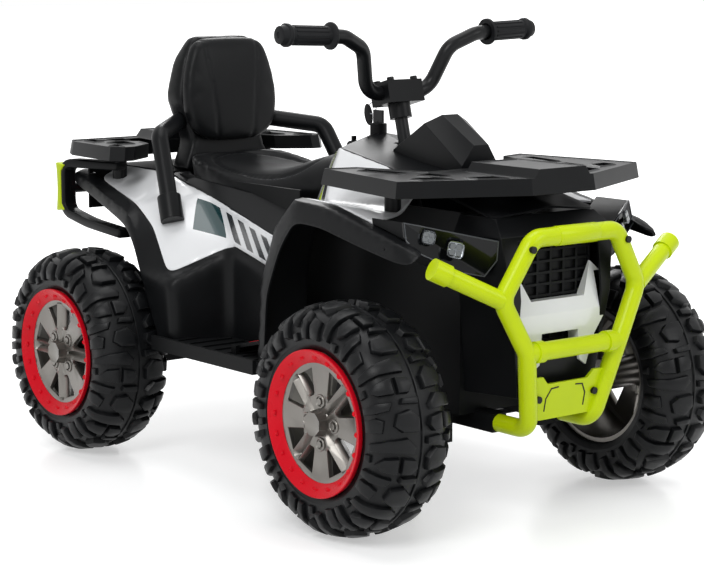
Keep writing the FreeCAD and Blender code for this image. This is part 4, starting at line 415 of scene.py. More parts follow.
def rim_mesh():
    """Half a spoke, mirrored and turned to the whole face, thickened, with barrel, hub, bolts and cap."""
    plate = bmesh.new()
    lines = [[plate.verts.new(polar(*corner)) for corner in line] for line in SPOKE_LINES]
    for n, (first, second) in enumerate(zip(lines, lines[1:])):
        for ring in range(len(first) - 1):
            if (n, ring) != WINDOW:
                plate.faces.new((first[ring], first[ring + 1], second[ring + 1], second[ring]))
    bmesh.ops.mirror(plate, geom=everything(plate), matrix=Matrix.Identity(4), merge_dist=0.00001, axis="X")
    bmesh.ops.spin(plate, geom=everything(plate), cent=(0, 0, 0), axis=(0, 1, 0), angle=1.5 * math.pi,
                   steps=3, use_duplicate=True)
    bmesh.ops.remove_doubles(plate, verts=plate.verts, dist=0.00005)
    bmesh.ops.recalc_face_normals(plate, faces=plate.faces)
    if sum(face.normal.y * face.calc_area() for face in plate.faces) < 0:
        bmesh.ops.reverse_faces(plate, faces=plate.faces)
    bmesh.ops.solidify(plate, geom=plate.faces[:], thickness=RIM_WALL)
    corners = []
    for edge in plate.edges:
        middle = (edge.verts[0].co + edge.verts[1].co) / 2
        reach = math.hypot(middle.x, middle.z) / MM
        upright = abs((edge.verts[0].co - edge.verts[1].co).normalized().y) > 0.9
        if upright and 35 < reach < 75 and edge.is_manifold:
            corners.append(edge)
    soften(plate, corners, 4.5 * MM, 4)
    soften(plate, hard_edges(plate, 35), 0.9 * MM)
    spun_profile(plate, BARREL, 72)
    spun_profile(plate, HUB, 32)
    outwards = Matrix.Rotation(-math.pi / 2, 4, "X")
    for spoke in range(4):
        seat = Matrix.Rotation(math.radians(90 * spoke), 4, "Y") @ polar(BOLT_CIRCLE, 0, 0)
        spun_profile(plate, BOLT_SEAT, 28, seat)
        stub(plate, Matrix.Translation(seat + Vector((0, 0.4 * MM, 0))) @ outwards, 6, 5.4, 5.0, 5.0)
    flat_up = Matrix.Rotation(math.radians(22.5), 4, "Z")
    cap_place = Matrix.Translation((0, RIM_FACE + 6.5 * MM, 0)) @ outwards @ flat_up
    cap = stub(plate, cap_place, 8, 20.0, 17.5, 17.0)
    walls = {face for vert in cap for face in vert.link_faces}
    bmesh.ops.inset_individual(plate, faces=list(walls), thickness=2.0 * MM, depth=-0.9 * MM)
    bmesh.ops.recalc_face_normals(plate, faces=plate.faces)
    return plate


def bead_ring_mesh():
    """The clamp ring, dished towards the rim, with low bolt heads standing on its slope."""
    ring = bmesh.new()
    spun_profile(ring, RING_SECTION, 96)
    for n in range(RING_BOLTS):
        turn = Matrix.Rotation(2 * math.pi * n / RING_BOLTS, 4, "Y")
        seat = turn @ Matrix.Translation(RING_BOLT_PLACE) @ Matrix.Rotation(RING_SLOPE - math.pi / 2, 4, "X")
        stub(ring, seat, 8, 4.4, 3.2, 3.2)
    bmesh.ops.recalc_face_normals(ring, faces=ring.faces)
    return ring


# gunmetal lacquer over a moulded wheel: warm grey metal flake with a satin shine
gunmetal = plain("gunmetal_lacquer", "#6d6a66", "#84817c", (0.26, 0.36), 0.7, 0.012, metallic=0.8)
# red ABS from a polished mould: deep and clean, softly shining
ring_red = plain("gloss_red_abs", "#d20a1e", "#e31026", (0.22, 0.32), 1.4, 0.012, specular=0.15)
RIM_TURNS = (20, 0, 65, 45)
set_wheels(rim_mesh(), "rim", "face", RIM_TURNS, gunmetal, 32.0)
set_wheels(bead_ring_mesh(), "bead_ring", "dished", (0, 0, 0, 0), ring_red, 30.0)

# Side panels and front panels: gloss white ABS mouldings clipped over the tub, with softly rounded creases.
# The band under the seat line carries a printed film of plain slanted bars in dark teal and charcoal.


CELL_MM = 7.0
PANEL_WALL = 3.0 * MM
PANEL_RIM = 0.8 * MM


def soft_skin(node, material, spine, rounds):
    """The outer wall of a CAD moulding with its creases rounded off, standing in for the node.
    The spine is a point inside the body, or None for x where it runs along under the face."""
    shape = joined_mesh(node)
    dropped = []
    for face in shape.faces:
        middle = face.calc_center_median()
        inside = Vector((middle.x if spine[0] is None else spine[0], 0.0, spine[1]))
        narrow = 2 * face.calc_area() < 4.4 * MM * face.calc_perimeter()
        if narrow or face.normal.dot((middle - inside).normalized()) < 0.08:
            dropped.append(face)
    bmesh.ops.delete(shape, geom=dropped, context="FACES")
    for step in range(7):
        bmesh.ops.triangulate(shape, faces=shape.faces)
        long_edges = [edge for edge in shape.edges if edge.calc_length() > CELL_MM * MM * 1.5]
        if not long_edges:
            break
        bmesh.ops.subdivide_edges(shape, edges=long_edges, cuts=1)
    bmesh.ops.triangulate(shape, faces=shape.faces)
    inner = [vert for vert in shape.verts if not vert.is_boundary]
    for step in range(rounds):
        bmesh.ops.smooth_vert(shape, verts=inner, factor=0.5, use_axis_x=True, use_axis_y=True,
                              use_axis_z=True)
        moved = []
        for vert in shape.verts:
            rim = [edge.other_vert(vert).co for edge in vert.link_edges if edge.is_boundary]
            if len(rim) == 2:
                moved.append((vert, vert.co.lerp((rim[0] + rim[1]) / 2, 0.5)))
        for vert, place in moved:
            vert.co = place
    piece = new_piece(shape, node + "_skin", body_of(node), material, sharp=60.0)
    wall = piece.modifiers.new("wall", "SOLIDIFY")
    wall.thickness = PANEL_WALL
    wall.offset = -1.0
    rim = piece.modifiers.new("rim", "BEVEL")
    rim.width = PANEL_RIM
    rim.segments = 2
    rim.angle_limit = math.radians(50)
    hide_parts(node)


# white ABS from a polished mould: clean white under a clear, glossy skin
white_abs, tree, surface, where = new_material("gloss_white_abs", ior=1.52, coat=0.6, coat_rough=0.05)
white = shade(tree, surface, where, "#e6e8ea", "#eff0f2", (0.20, 0.28), 1.6, 0.010)
axes = add(tree, "ShaderNodeSeparateXYZ", links={"Vector": where})


def between(tree, value, low, high):
    """1 between low and high, 0 outside."""
    above = add(tree, "ShaderNodeMath", {1: low}, {0: value}, operation="GREATER_THAN")
    below = add(tree, "ShaderNodeMath", {1: high}, {0: value}, operation="LESS_THAN")
    both = add(tree, "ShaderNodeMath", links={0: above.outputs[0], 1: below.outputs[0]}, operation="MULTIPLY")
    return both.outputs[0]


def printed(tree, colour, mask, code):
    """The colour with one printed bar laid over it."""
    return add(tree, "ShaderNodeMix", {7: linear(code)}, {0: mask, 6: colour}, data_type="RGBA").outputs[2]


# film: one wide teal bar and four charcoal ones, along a line that drops to the front and leaning back
BAND_DROP, BAR_LEAN, TANK_LEAN = 0.22, 0.75, 0.652
BAR_PITCH, BAR_FIRST, BAR_WIDE = 0.030, 0.166, 0.016
climb = add(tree, "ShaderNodeMath", {1: BAND_DROP}, {0: axes.outputs["X"], 2: axes.outputs["Z"]},
            operation="MULTIPLY_ADD").outputs[0]
lean = add(tree, "ShaderNodeMath", {1: BAR_LEAN}, {0: axes.outputs["Z"], 2: axes.outputs["X"]},
           operation="MULTIPLY_ADD").outputs[0]
film = white.outputs[2]
BAR_LOW, BAR_HIGH = 0.3340, 0.3710
BARS = [(0.106, 0.150, "#17393c")]
for n in range(4):
    back = BAR_FIRST + BAR_PITCH * n
    BARS.append((back, back + BAR_WIDE, "#24282b"))
band = between(tree, climb, BAR_LOW, BAR_HIGH)
for back, front, code in BARS:
    across = between(tree, lean, back, front)
    mask = add(tree, "ShaderNodeMath", links={0: across, 1: band}, operation="MULTIPLY").outputs[0]
    film = printed(tree, film, mask, code)
# tank sides: a lime bar and a black bar that follow the panel's rear edge
TANK_EDGE, TANK_LOW = 0.3876, 0.436
edge = add(tree, "ShaderNodeMath", {1: TANK_LEAN}, {0: axes.outputs["Z"], 2: axes.outputs["X"]},
           operation="MULTIPLY_ADD").outputs[0]
high_up = add(tree, "ShaderNodeMath", {1: TANK_LOW}, {0: axes.outputs["Z"]},
              operation="GREATER_THAN").outputs[0]
for back, front, code in ((0.0, 0.016, "#c3dc1e"), (0.018, 0.033, "#15171a")):
    mask = between(tree, edge, TANK_EDGE + back, TANK_EDGE + front)
    mask = add(tree, "ShaderNodeMath", links={0: mask, 1: high_up}, operation="MULTIPLY").outputs[0]
    film = printed(tree, film, mask, code)
tree.links.new(film, surface.inputs["Base Color"])
soft_skin("side_panels", white_abs, (None, 0.20), 5)
soft_skin("front_panels", white_abs, (None, 0.30), 3)
# the front trim is creased along its bar: its upper half and its prongs slant back
TRIM_CREASE = 0.306
TRIM_BACK = 0.484
TRIM_SLANT = 0.27
trim = joined_mesh("grille_trim")
bmesh.ops.bisect_plane(trim, geom=everything(trim), dist=0.00001, plane_co=(0, 0, TRIM_CREASE),
                       plane_no=(0, 0, 1))
for vert in trim.verts:
    if vert.co.x > TRIM_BACK:
        vert.co.x -= TRIM_SLANT * max(0.0, vert.co.z - TRIM_CREASE)
soften(trim, hard_edges(trim, 30), 1.2 * MM, clamp=True)
piece = new_piece(trim, "grille_trim_skin", "frame", white_abs, sharp=12.0)
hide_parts("grille_trim")

# Fenders, hood, seat skirts and fascia: satin black polypropylene mouldings screwed to the tub.
# Their arches are rolled over broadly, so every crease is a large soft radius.
soft_skin("rear_fenders", fender_pp, (-0.345, 0.16), 7)
soft_skin("front_fenders", fender_pp, (0.345, 0.16), 6)
rounded("seat_base", fender_pp, 2.0, segments=3)
soft_skin("hood", fender_pp, (None, 0.25), 5)
rounded("front_fascia", fender_pp, 2.0, segments=3)
rounded("dash_pod", fender_pp, 2.4, segments=3)
rounded("grille", black_pp, 0.6)

# Headlights: black housings with smoked, glossy lenses, and two square lamp units behind each.
# A thin satin rim is moulded round each lens; a unit is a silvered frame with four small clear cells.
# smoked polycarbonate: almost black, with a glassy polish
smoked = plain("smoked_polycarbonate", "#08090b", "#0d0f12", (0.05, 0.09), 2.0, 0.003, specular=0.25)
rounded("headlight_housings", black_pp, 1.0)
rounded("headlight_lenses", smoked, 0.6)
# satin rim of the lens moulding: grey, dull
lens_rim = plain("satin_grey_abs", "#2c2f33", "#393d42", (0.25, 0.35), 1.0, 0.01)
# vacuum silvering seen through smoked plastic: grey, smooth
silvered = plain("silvered_reflector", "#6f7376", "#878b8e", (0.15, 0.24), 1.0, 0.004, metallic=0.9)
# clear cells over the silvering: darker, with a bright glint
cell_clear = plain("clear_acrylic", "#4a4f53", "#6c7175", (0.05, 0.10), 1.5, 0.004, coat=1.0, coat_rough=0.03)
LENS_OUT = Vector((0.843, -0.487, 0.227)).normalized()
LENS_ALONG = Vector((80, 124, -31)).normalized()
LENS_UP = LENS_OUT.cross(LENS_ALONG)
LAMP_UNITS = [(Vector((0.4245, -0.1903, 0.4202)), 19.0 * MM), (Vector((0.4463, -0.1603, 0.4033)), 23.0 * MM)]


def lamp_block(shape, middle, width, depth, corner, dish):
    """A rounded square block standing on the lens plane, its face dished by a share of its depth."""
    block = bmesh.new()
    bmesh.ops.create_cube(block, size=1.0, matrix=Matrix.Diagonal((width, width, depth, 1.0)))
    upright = [edge for edge in block.edges if abs(edge.verts[0].co.z - edge.verts[1].co.z) > depth / 2]
    soften(block, upright, corner, 3)
    front = [face for face in block.faces if face.normal.z > 0.99]
    bmesh.ops.inset_region(block, faces=front, thickness=width * 0.09, depth=-depth * dish)
    place = Matrix((LENS_ALONG, LENS_UP, LENS_OUT)).transposed().to_4x4()
    place.translation = middle
    bmesh.ops.transform(block, matrix=place, verts=block.verts)
    put_in(shape, block)


def both_sides(shape):
    """Adds the mirror image across the vehicle's middle."""
    bmesh.ops.mirror(shape, geom=everything(shape), matrix=Matrix.Identity(4), merge_dist=0.0, axis="Y")
    bmesh.ops.recalc_face_normals(shape, faces=shape.faces)


frames = bmesh.new()
cells = bmesh.new()
for middle, width in LAMP_UNITS:
    lamp_block(frames, middle + LENS_OUT * 3.0 * MM, width, 4.0 * MM, width * 0.28, 0.4)
    for right in (-1, 1):
        for high in (-1, 1):
            shift = (LENS_ALONG * right + LENS_UP * high) * width * 0.19
            place = middle + shift + LENS_OUT * 3.4 * MM
            lamp_block(cells, place, width * 0.33, 3.0 * MM, width * 0.09, -0.2)
both_sides(frames)
both_sides(cells)
new_piece(frames, "headlight_frames", "frame", silvered)
new_piece(cells, "headlight_cells", "frame", cell_clear)
RIM_WIDE = 1.6 * MM
rims = joined_mesh("headlight_lenses")
bmesh.ops.delete(rims, geom=[face for face in rims.faces if face.normal.x < 0.5], context="FACES")
kept = bmesh.ops.inset_region(rims, faces=rims.faces[:], thickness=RIM_WIDE, use_boundary=True,
                              use_even_offset=True)["faces"]
bmesh.ops.delete(rims, geom=[face for face in rims.faces if face not in kept], context="FACES")
for vert in rims.verts:
    vert.co.x += 1.0 * MM
bmesh.ops.solidify(rims, geom=rims.faces[:], thickness=RIM_WIDE)
bmesh.ops.recalc_face_normals(rims, faces=rims.faces)
new_piece(rims, "headlight_rims", "frame", lens_rim)

# Seat: foam under a black embossed vinyl cover, pulled down at its edge. A double row of stitches
# follows the cushion's border all round the saddle.
# vinyl: black, low sheen, with a leather grain of about 1.1 mm
vinyl = plain("embossed_vinyl", "#0a0b0c", "#101113", (0.34, 0.46), 1.1, 0.05, specular=0.13, sheen=0.02)
# polyester thread: dull black, a little lighter than the cover
thread = plain("polyester_thread", "#26272b", "#36383c", (0.5, 0.6), 0.5, 0.02, specular=0.3)


VOXEL = 4.5 * MM
LAST_FRAME = 20


def eased(shape, rounds):
    """Irons a cover."""
    for step in range(rounds):
        bmesh.ops.smooth_vert(shape, verts=shape.verts, factor=0.5, use_axis_x=True, use_axis_y=True,
                              use_axis_z=True)


def stuffed(shape, pressure, cap_mm, rounds):
    """A solid as a foam pad in a cover: evened out, softened, blown up a little by a cloth run and ironed."""
    mesh = bpy.data.meshes.new("cover")
    shape.to_mesh(mesh)
    shape.free()
    cover = bpy.data.objects.new("cover", mesh)
    bpy.context.scene.collection.objects.link(cover)
    even = cover.modifiers.new("even", "REMESH")
    even.mode = "VOXEL"
    even.voxel_size = VOXEL
    mesh = bpy.data.meshes.new_from_object(cover.evaluated_get(bpy.context.evaluated_depsgraph_get()))
    cover.modifiers.remove(even)
    shape = bmesh.new()
    shape.from_mesh(mesh)
    eased(shape, rounds)
    shape.to_mesh(mesh)
    cover.data = mesh
    cloth = cover.modifiers.new("swell", "CLOTH")
    cloth.settings.use_pressure = True
    cloth.settings.uniform_pressure_force = pressure
    cloth.settings.effector_weights.gravity = 0.0
    cloth.point_cache.frame_start = 1
    cloth.point_cache.frame_end = LAST_FRAME
    for step in range(1, LAST_FRAME + 1):
        bpy.context.scene.frame_set(step)
    swollen = cover.evaluated_get(bpy.context.evaluated_depsgraph_get()).data
    for vert, moved in zip(mesh.vertices, swollen.vertices):
        step = moved.co - vert.co
        vert.co += step * min(1.0, cap_mm * MM / max(step.length, 0.000001))
    cover.modifiers.remove(cloth)
    bpy.context.scene.frame_set(1)
    shape.free()
    shape = bmesh.new()
    shape.from_mesh(mesh)
    eased(shape, rounds)
    bpy.data.objects.remove(cover)
    bpy.data.meshes.remove(mesh)
    return shape


def along_path(points, gap):
    """Places at an even gap along a line of points, each with the line's direction there."""
    places = []
    travel = 0.0
    for first, second in zip(points, points[1:]):
        length = (second - first).length
        while travel <= length:
            places.append((first.lerp(second, travel / length), (second - first).normalized()))
            travel += gap
        travel -= length
    return places


def drawn_in(shape, points, reach, depth):
    """Pulls a pad's cover in along a sewn line."""
    tree = KDTree(len(points))
    for number, point in enumerate(points):
        tree.insert(point, number)
    tree.balance()
    shape.normal_update()
    moves = []
    for vert in shape.verts:
        distance = tree.find(vert.co)[2]
        if distance < reach:
            moves.append((vert, vert.normal * depth * (1 - (distance / reach) ** 2) ** 2))
    for vert, move in moves:
        vert.co -= move


def cast_down(shape, flat_points, start, direction):
    """Points of a flat line dropped onto a pad's cover."""
    tree = BVHTree.FromBMesh(shape)
    hits = [tree.ray_cast(start + point, direction)[0] for point in flat_points]
    return [hit for hit in hits if hit is not None]


def stitches(points, aside, gap_mm, length_mm, thick_mm, out):
    """A row of short thread loops beside a sewn line."""
    shape = bmesh.new()
    for place, heading in along_path(points, gap_mm * MM):
        side = heading.cross(out).normalized()
        frame_axes = Matrix((heading, side, heading.cross(side))).transposed().to_4x4()
        frame_axes.translation = place + side * aside * MM
        size = Matrix.Diagonal((length_mm / 2 * MM, thick_mm / 2 * MM, thick_mm / 2 * MM, 1.0))
        bmesh.ops.create_uvsphere(shape, u_segments=6, v_segments=4, radius=1.0, matrix=frame_axes @ size)
    bmesh.ops.recalc_face_normals(shape, faces=shape.faces)
    return shape


def pad_piece(shape, node, name, material):
    """A stuffed shape as the cover that stands in for a soft CAD node."""
    piece = new_piece(shape, name, body_of(node), material, sharp=180.0)
    fine = piece.modifiers.new("fine", "SUBSURF")
    fine.levels = 1
    fine.render_levels = 1
    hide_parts(node)


seat_shape = joined_mesh("seat")
bmesh.ops.triangulate(seat_shape, faces=seat_shape.faces)
for step in range(5):
    long_edges = [edge for edge in seat_shape.edges if edge.calc_length() > 14.0 * MM]
    bmesh.ops.subdivide_edges(seat_shape, edges=long_edges, cuts=1)
    bmesh.ops.triangulate(seat_shape, faces=seat_shape.faces)
# its sides swell out and down over the skirts' upper edge
SWELL_FROM, SWELL_OVER, SWELL_OUT = 62 * MM, 26 * MM, 10.0 * MM
SWELL_TOP, SWELL_FALL, SWELL_DOWN = 0.455, 20 * MM, 9.0 * MM
for vert in seat_shape.verts:
    outer = min(1.0, max(0.0, (abs(vert.co.y) - SWELL_FROM) / SWELL_OVER))
    vert.co.y += math.copysign(SWELL_OUT * outer, vert.co.y)
    vert.co.z -= SWELL_DOWN * outer * min(1.0, max(0.0, (SWELL_TOP - vert.co.z) / SWELL_FALL))
seat_shape = stuffed(seat_shape, 1.5, 5.0, 4)
SEAT_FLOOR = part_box("seat")[0].z - 4.0 * MM
for vert in seat_shape.verts:
    vert.co.z = max(vert.co.z, SEAT_FLOOR)
BORDER_MIDDLE, BORDER_LONG, BORDER_WIDE, BORDER_SQUARE = -0.160, 0.138, 0.083, 0.8
BORDER_STEPS = 120
GROOVE_WIDE, GROOVE_DEEP = 8.0 * MM, 5.0 * MM
STITCH_ASIDE, STITCH_GAP, STITCH_LONG, STITCH_THICK = 4.2, 7.0, 5.2, 1.7
border = []
for n in range(BORDER_STEPS + 1):
    turn = 2 * math.pi * n / BORDER_STEPS
    back = math.copysign(abs(math.cos(turn)) ** BORDER_SQUARE, math.cos(turn))
    wide = math.copysign(abs(math.sin(turn)) ** BORDER_SQUARE, math.sin(turn))
    border.append(Vector((BORDER_MIDDLE - BORDER_LONG * back, BORDER_WIDE * wide, 0)))
DOWN = Vector((0, 0, -1))
ABOVE = Vector((0, 0, 0.7))
drawn_in(seat_shape, cast_down(seat_shape, border, ABOVE, DOWN), GROOVE_WIDE, GROOVE_DEEP)
line = cast_down(seat_shape, border, ABOVE, DOWN)
rows = bmesh.new()
for aside in (STITCH_ASIDE, -STITCH_ASIDE):
    put_in(rows, stitches(line, aside, STITCH_GAP, STITCH_LONG, STITCH_THICK, -DOWN))
pad_piece(seat_shape, "seat", "seat_cover", vinyl)
new_piece(rows, "seat_stitches", "frame", thread)

# Backrest: a deep moulded shell with broadly rounded edges, and a foam pad in matt vinyl pressed onto it.
# Two sewn lines run down the pad and draw together towards its foot.
soft_skin("backrest", fender_pp, (-0.345, 0.555), 6)
# half outline of the pad as height and half width in mm, from its foot to its top
PAD_OUTLINE = [(497, 30), (500, 50), (507, 66), (518, 80), (533, 88), (556, 92), (582, 92), (607, 88),
               (632, 81), (650, 74), (660, 67), (666, 54), (668, 38)]
# rings of the pad's section: share of the outline, and how far in front of the shell
PAD_RINGS = [(0.95, -4), (1.0, 6), (1.0, 13), (0.975, 19), (0.93, 22.5), (0.82, 25), (0.60, 27), (0.30, 28)]
PAD_MIDDLE = 583
# the shell's front: its place at the foot, how fast it leans back, and the foot's height
SHELL_FRONT, SHELL_LEAN, SHELL_FOOT = -311, 0.0909, 450
# a seam's half distance at its foot, how far it opens, its foot's height and its length
SEAM_HALF, SEAM_OPENS, SEAM_FOOT, SEAM_TALL, SEAM_STEPS = 0.034, 0.020, 0.496, 0.172, 40


def lofted(rings):
    """A closed skin over a row of rings of points."""
    shape = bmesh.new()
    loops = []
    for ring in rings:
        verts = [shape.verts.new(point) for point in ring]
        loops.append([shape.edges.new(pair) for pair in zip(verts, verts[1:] + verts[:1])])
    for first, second in zip(loops, loops[1:]):
        bmesh.ops.bridge_loops(shape, edges=first + second)
    bmesh.ops.edgeloop_fill(shape, edges=loops[0])
    bmesh.ops.edgeloop_fill(shape, edges=loops[-1])
    bmesh.ops.recalc_face_normals(shape, faces=shape.faces)
    return shape


around = PAD_OUTLINE + [(up, -wide) for up, wide in PAD_OUTLINE[::-1]]
rings = []
for share, out in PAD_RINGS:
    ring = []
    for up, wide in around:
        z = PAD_MIDDLE + (up - PAD_MIDDLE) * share
        ring.append(Vector((SHELL_FRONT - SHELL_LEAN * (z - SHELL_FOOT) + out, wide * share, z)) * MM)
    rings.append(ring)
pad_shape = stuffed(lofted(rings), 1.0, 3.0, 3)
for side in (-1, 1):
    seam = []
    for n in range(SEAM_STEPS + 1):
        t = n / SEAM_STEPS
        seam.append(Vector((0, side * (SEAM_HALF + SEAM_OPENS * t), SEAM_FOOT + SEAM_TALL * t)))
    seam = cast_down(pad_shape, seam, Vector((0, 0, 0)), Vector((-1, 0, 0)))
    drawn_in(pad_shape, seam, 5.0 * MM, 2.0 * MM)
pad_piece(pad_shape, "backrest_pad", "backrest_cover", vinyl)
rounded("grab_rail", fender_pp, 1.0)


# Racks: black polypropylene mouldings on short posts, with drafted skirts, slots for straps and a deck
# that is sunk a little inside its rim and round each slot.
RACK_DECK, RACK_SKIRT_LOW, RACK_SKIRT_HIGH = 16 * MM, 45 * MM, 28 * MM
DECK_LEAST = 0.0012


def rack_skin(node):
    """A rack with its skirt drafted outwards, its deck sunk and its edges rounded."""
    shape = joined_mesh(node)
    low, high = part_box(node)
    middle = (low + high) / 2
    deck = []
    for face in shape.faces:
        upper = face.normal.z > 0.99 and face.calc_center_median().z > high.z - RACK_DECK
        if upper and face.calc_area() > DECK_LEAST:
            deck.append(face)
    skirt = [vert for vert in shape.verts if high.z - RACK_SKIRT_LOW < vert.co.z < high.z - RACK_SKIRT_HIGH]
    bmesh.ops.scale(shape, verts=skirt, vec=(1.03, 1.018, 1.0), space=Matrix.Translation(-middle))
    bmesh.ops.inset_region(shape, faces=deck, thickness=3.0 * MM, depth=-2.2 * MM, use_even_offset=True)
    soften(shape, hard_edges(shape, 25), 1.3 * MM, clamp=True)
    skin_of(node, shape, fender_pp)


rack_skin("front_rack")
rack_skin("rear_rack")

# Bumpers: lime ABS over tube at the front, screwed on with black screws. At the rear two thick black
# moulded arms reach round the corner, each under a lime cover that swells at both ends.
# lime ABS from a polished mould: bright and even, softly shining
lime_abs = plain("gloss_lime_abs", "#c2d90a", "#cfe312", (0.24, 0.34), 1.4, 0.012, specular=0.2)
# red polycarbonate: deep red with a glassy skin
red_lens = plain("red_polycarbonate", "#9a0a10", "#b81018", (0.08, 0.14), 1.5, 0.006, coat=0.8)
rounded("front_bumper", lime_abs, 0.8)
rounded("tail_lights", red_lens, 2.0)
rounded("body_screws", powder_black, 0.5)
# a sleeve round the middle of the hoop's top, and two bent lines cut into the skid plate, drawn as thin,
# slightly raised black strips that are painted shade of the grooves
HOOP_TOP = Vector((0.516, 0, 0.420))
SLEEVE_MM, SLEEVE_LONG_MM = 13.9, 76
ACROSS = Matrix.Rotation(math.pi / 2, 4, "X")
sleeve = bmesh.new()
stub(sleeve, Matrix.Translation(HOOP_TOP) @ ACROSS, 40, SLEEVE_MM, SLEEVE_MM, SLEEVE_LONG_MM)
soften(sleeve, hard_edges(sleeve, 50), 0.5 * MM)
new_piece(sleeve, "bumper_sleeve", "frame", lime_abs)
# the plate's front face: its place at a height, how fast it leans forward, and the way it faces
PLATE_FRONT, PLATE_AT, PLATE_LEAN = 0.4964, 0.165, 0.205
PLATE_OUT = Vector((0.98, 0, -0.2))
CUT_LINE = [(0.038, 0.171), (0.038, 0.189), (0.030, 0.203), (0.017, 0.204)]
CUT_WIDE, CUT_TALL, CUT_OVERLAP = 1.8 * MM, 1.2 * MM, 1.6 * MM
# painted shade: black strips stand for the shade inside the cut lines; they are not a dark part of their own
cuts = bmesh.new()
for first, second in zip(CUT_LINE, CUT_LINE[1:]):
    ends = [Vector((PLATE_FRONT + PLATE_LEAN * (z - PLATE_AT), y, z)) for y, z in (first, second)]
    along = (ends[1] - ends[0]).normalized()
    turn = Matrix((along, PLATE_OUT.cross(along).normalized(), PLATE_OUT)).transposed().to_4x4()
    turn.translation = (ends[0] + ends[1]) / 2
    size = Matrix.Diagonal(((ends[1] - ends[0]).length + CUT_OVERLAP, CUT_WIDE, CUT_TALL, 1.0))
    bmesh.ops.create_cube(cuts, size=1.0, matrix=turn @ size)
both_sides(cuts)
new_piece(cuts, "skid_plate_groove_shade", "frame", powder_black)


def rounded_path(corners, reach):
    """The line through the corners with each bend drawn as a short curve."""
    path = [corners[0]]
    for before, corner, after in zip(corners, corners[1:], corners[2:]):
        start = corner + (before - corner).normalized() * reach
        end = corner + (after - corner).normalized() * reach
        for n in range(7):
            t = n / 6
            path.append(start.lerp(corner, t).lerp(corner.lerp(end, t), t))
    return path + [corners[-1]]


def swept_bar(path, half_wide, half_tall):
    """A bar of rectangular section with rounded edges, along a path that runs fore and aft."""
    rings = []
    for n, point in enumerate(path):
        heading = (path[min(n + 1, len(path) - 1)] - path[max(n - 1, 0)]).normalized()
        up = heading.cross(Vector((0, 1, 0))).normalized() * half_tall
        side = up.normalized().cross(heading) * half_wide
        rings.append([point - side - up, point + side - up, point + side + up, point - side + up])
    shape = lofted(rings)
    soften(shape, hard_edges(shape, 60), 4.0 * MM, 3, clamp=True)
    return shape


ARM_X, ARM_Y, ARM_TOP = -0.5165, 0.195, 0.455
ARM_CORNERS = [Vector((-0.400, 0.160, ARM_TOP)), Vector((ARM_X, ARM_Y, ARM_TOP)),
               Vector((ARM_X, ARM_Y, 0.372)), Vector((-0.440, ARM_Y, 0.358)), Vector((-0.335, ARM_Y, 0.350))]
CROSSBAR_Z, CROSSBAR_MM = 0.411, 9.0
arms = swept_bar(rounded_path(ARM_CORNERS, 22.0 * MM), 13.0 * MM, 7.5 * MM)
both_sides(arms)
crossbar = Matrix.Translation((ARM_X, 0, CROSSBAR_Z)) @ ACROSS
stub(arms, crossbar, 28, CROSSBAR_MM, CROSSBAR_MM, 2 * ARM_Y / MM)
piece = new_piece(arms, "rear_bumper_arms", "frame", fender_pp)
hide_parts("rear_bumper_frame")
low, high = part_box("rear_bumper_trim")
COVER_WAIST, COVER_LIP, COVER_WEB = 4.0 * MM, -0.5060, -0.5160
COVER_EDGE, COVER_STEP, COVER_WIDE, COVER_IN = 3.0 * MM, 14.0 * MM, 31.0 * MM, 30.0 * MM
covers = bmesh.new()
outline = []
for n in range(13):
    t = n / 12
    outline.append((low.x + COVER_WAIST * (1 - abs(2 * t - 1) ** 2.0), low.z + (high.z - low.z) * t))
outline += [(COVER_LIP, high.z - COVER_EDGE), (COVER_WEB, high.z - COVER_STEP),
            (COVER_WEB, low.z + COVER_STEP), (COVER_LIP, low.z + COVER_EDGE)]
corners = [covers.verts.new((x, high.y - COVER_IN, z)) for x, z in outline]
raised = bmesh.ops.extrude_face_region(covers, geom=[covers.faces.new(corners)])["geom"]
moved = [item for item in raised if isinstance(item, bmesh.types.BMVert)]
bmesh.ops.translate(covers, verts=moved, vec=(0, COVER_WIDE, 0))
bmesh.ops.recalc_face_normals(covers, faces=covers.faces)
soften(covers, hard_edges(covers, 50), 2.5 * MM, 3, clamp=True)
both_sides(covers)
piece = new_piece(covers, "rear_bumper_covers", "frame", lime_abs)
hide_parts("rear_bumper_trim")

# Controls: bent steel handlebar under black powder coat in a bolted plastic clamp, soft grips with long ribs,
# and the key with its fob, start button and direction switch on the hood.
rounded("handlebar", powder_black, 1.0)
for node in ("clamp_base", "clamp_cap"):
    rounded(node, fender_pp, 2.4, segments=3)
rounded("clamp_bolts", powder_black, 0.8)
# grip compound: soft black PVC, dull
grip_pvc = plain("soft_pvc", "#101113", "#18191b", (0.46, 0.58), 0.7, 0.03, specular=0.15)
GRIP_RADIUS = 13.6
GRIP_RIBS = 12
RIB_MIDDLE, RIB_SIZE = 42 * MM, Matrix.Diagonal((2.4 * MM, 3.6 * MM, 58 * MM, 1.0))
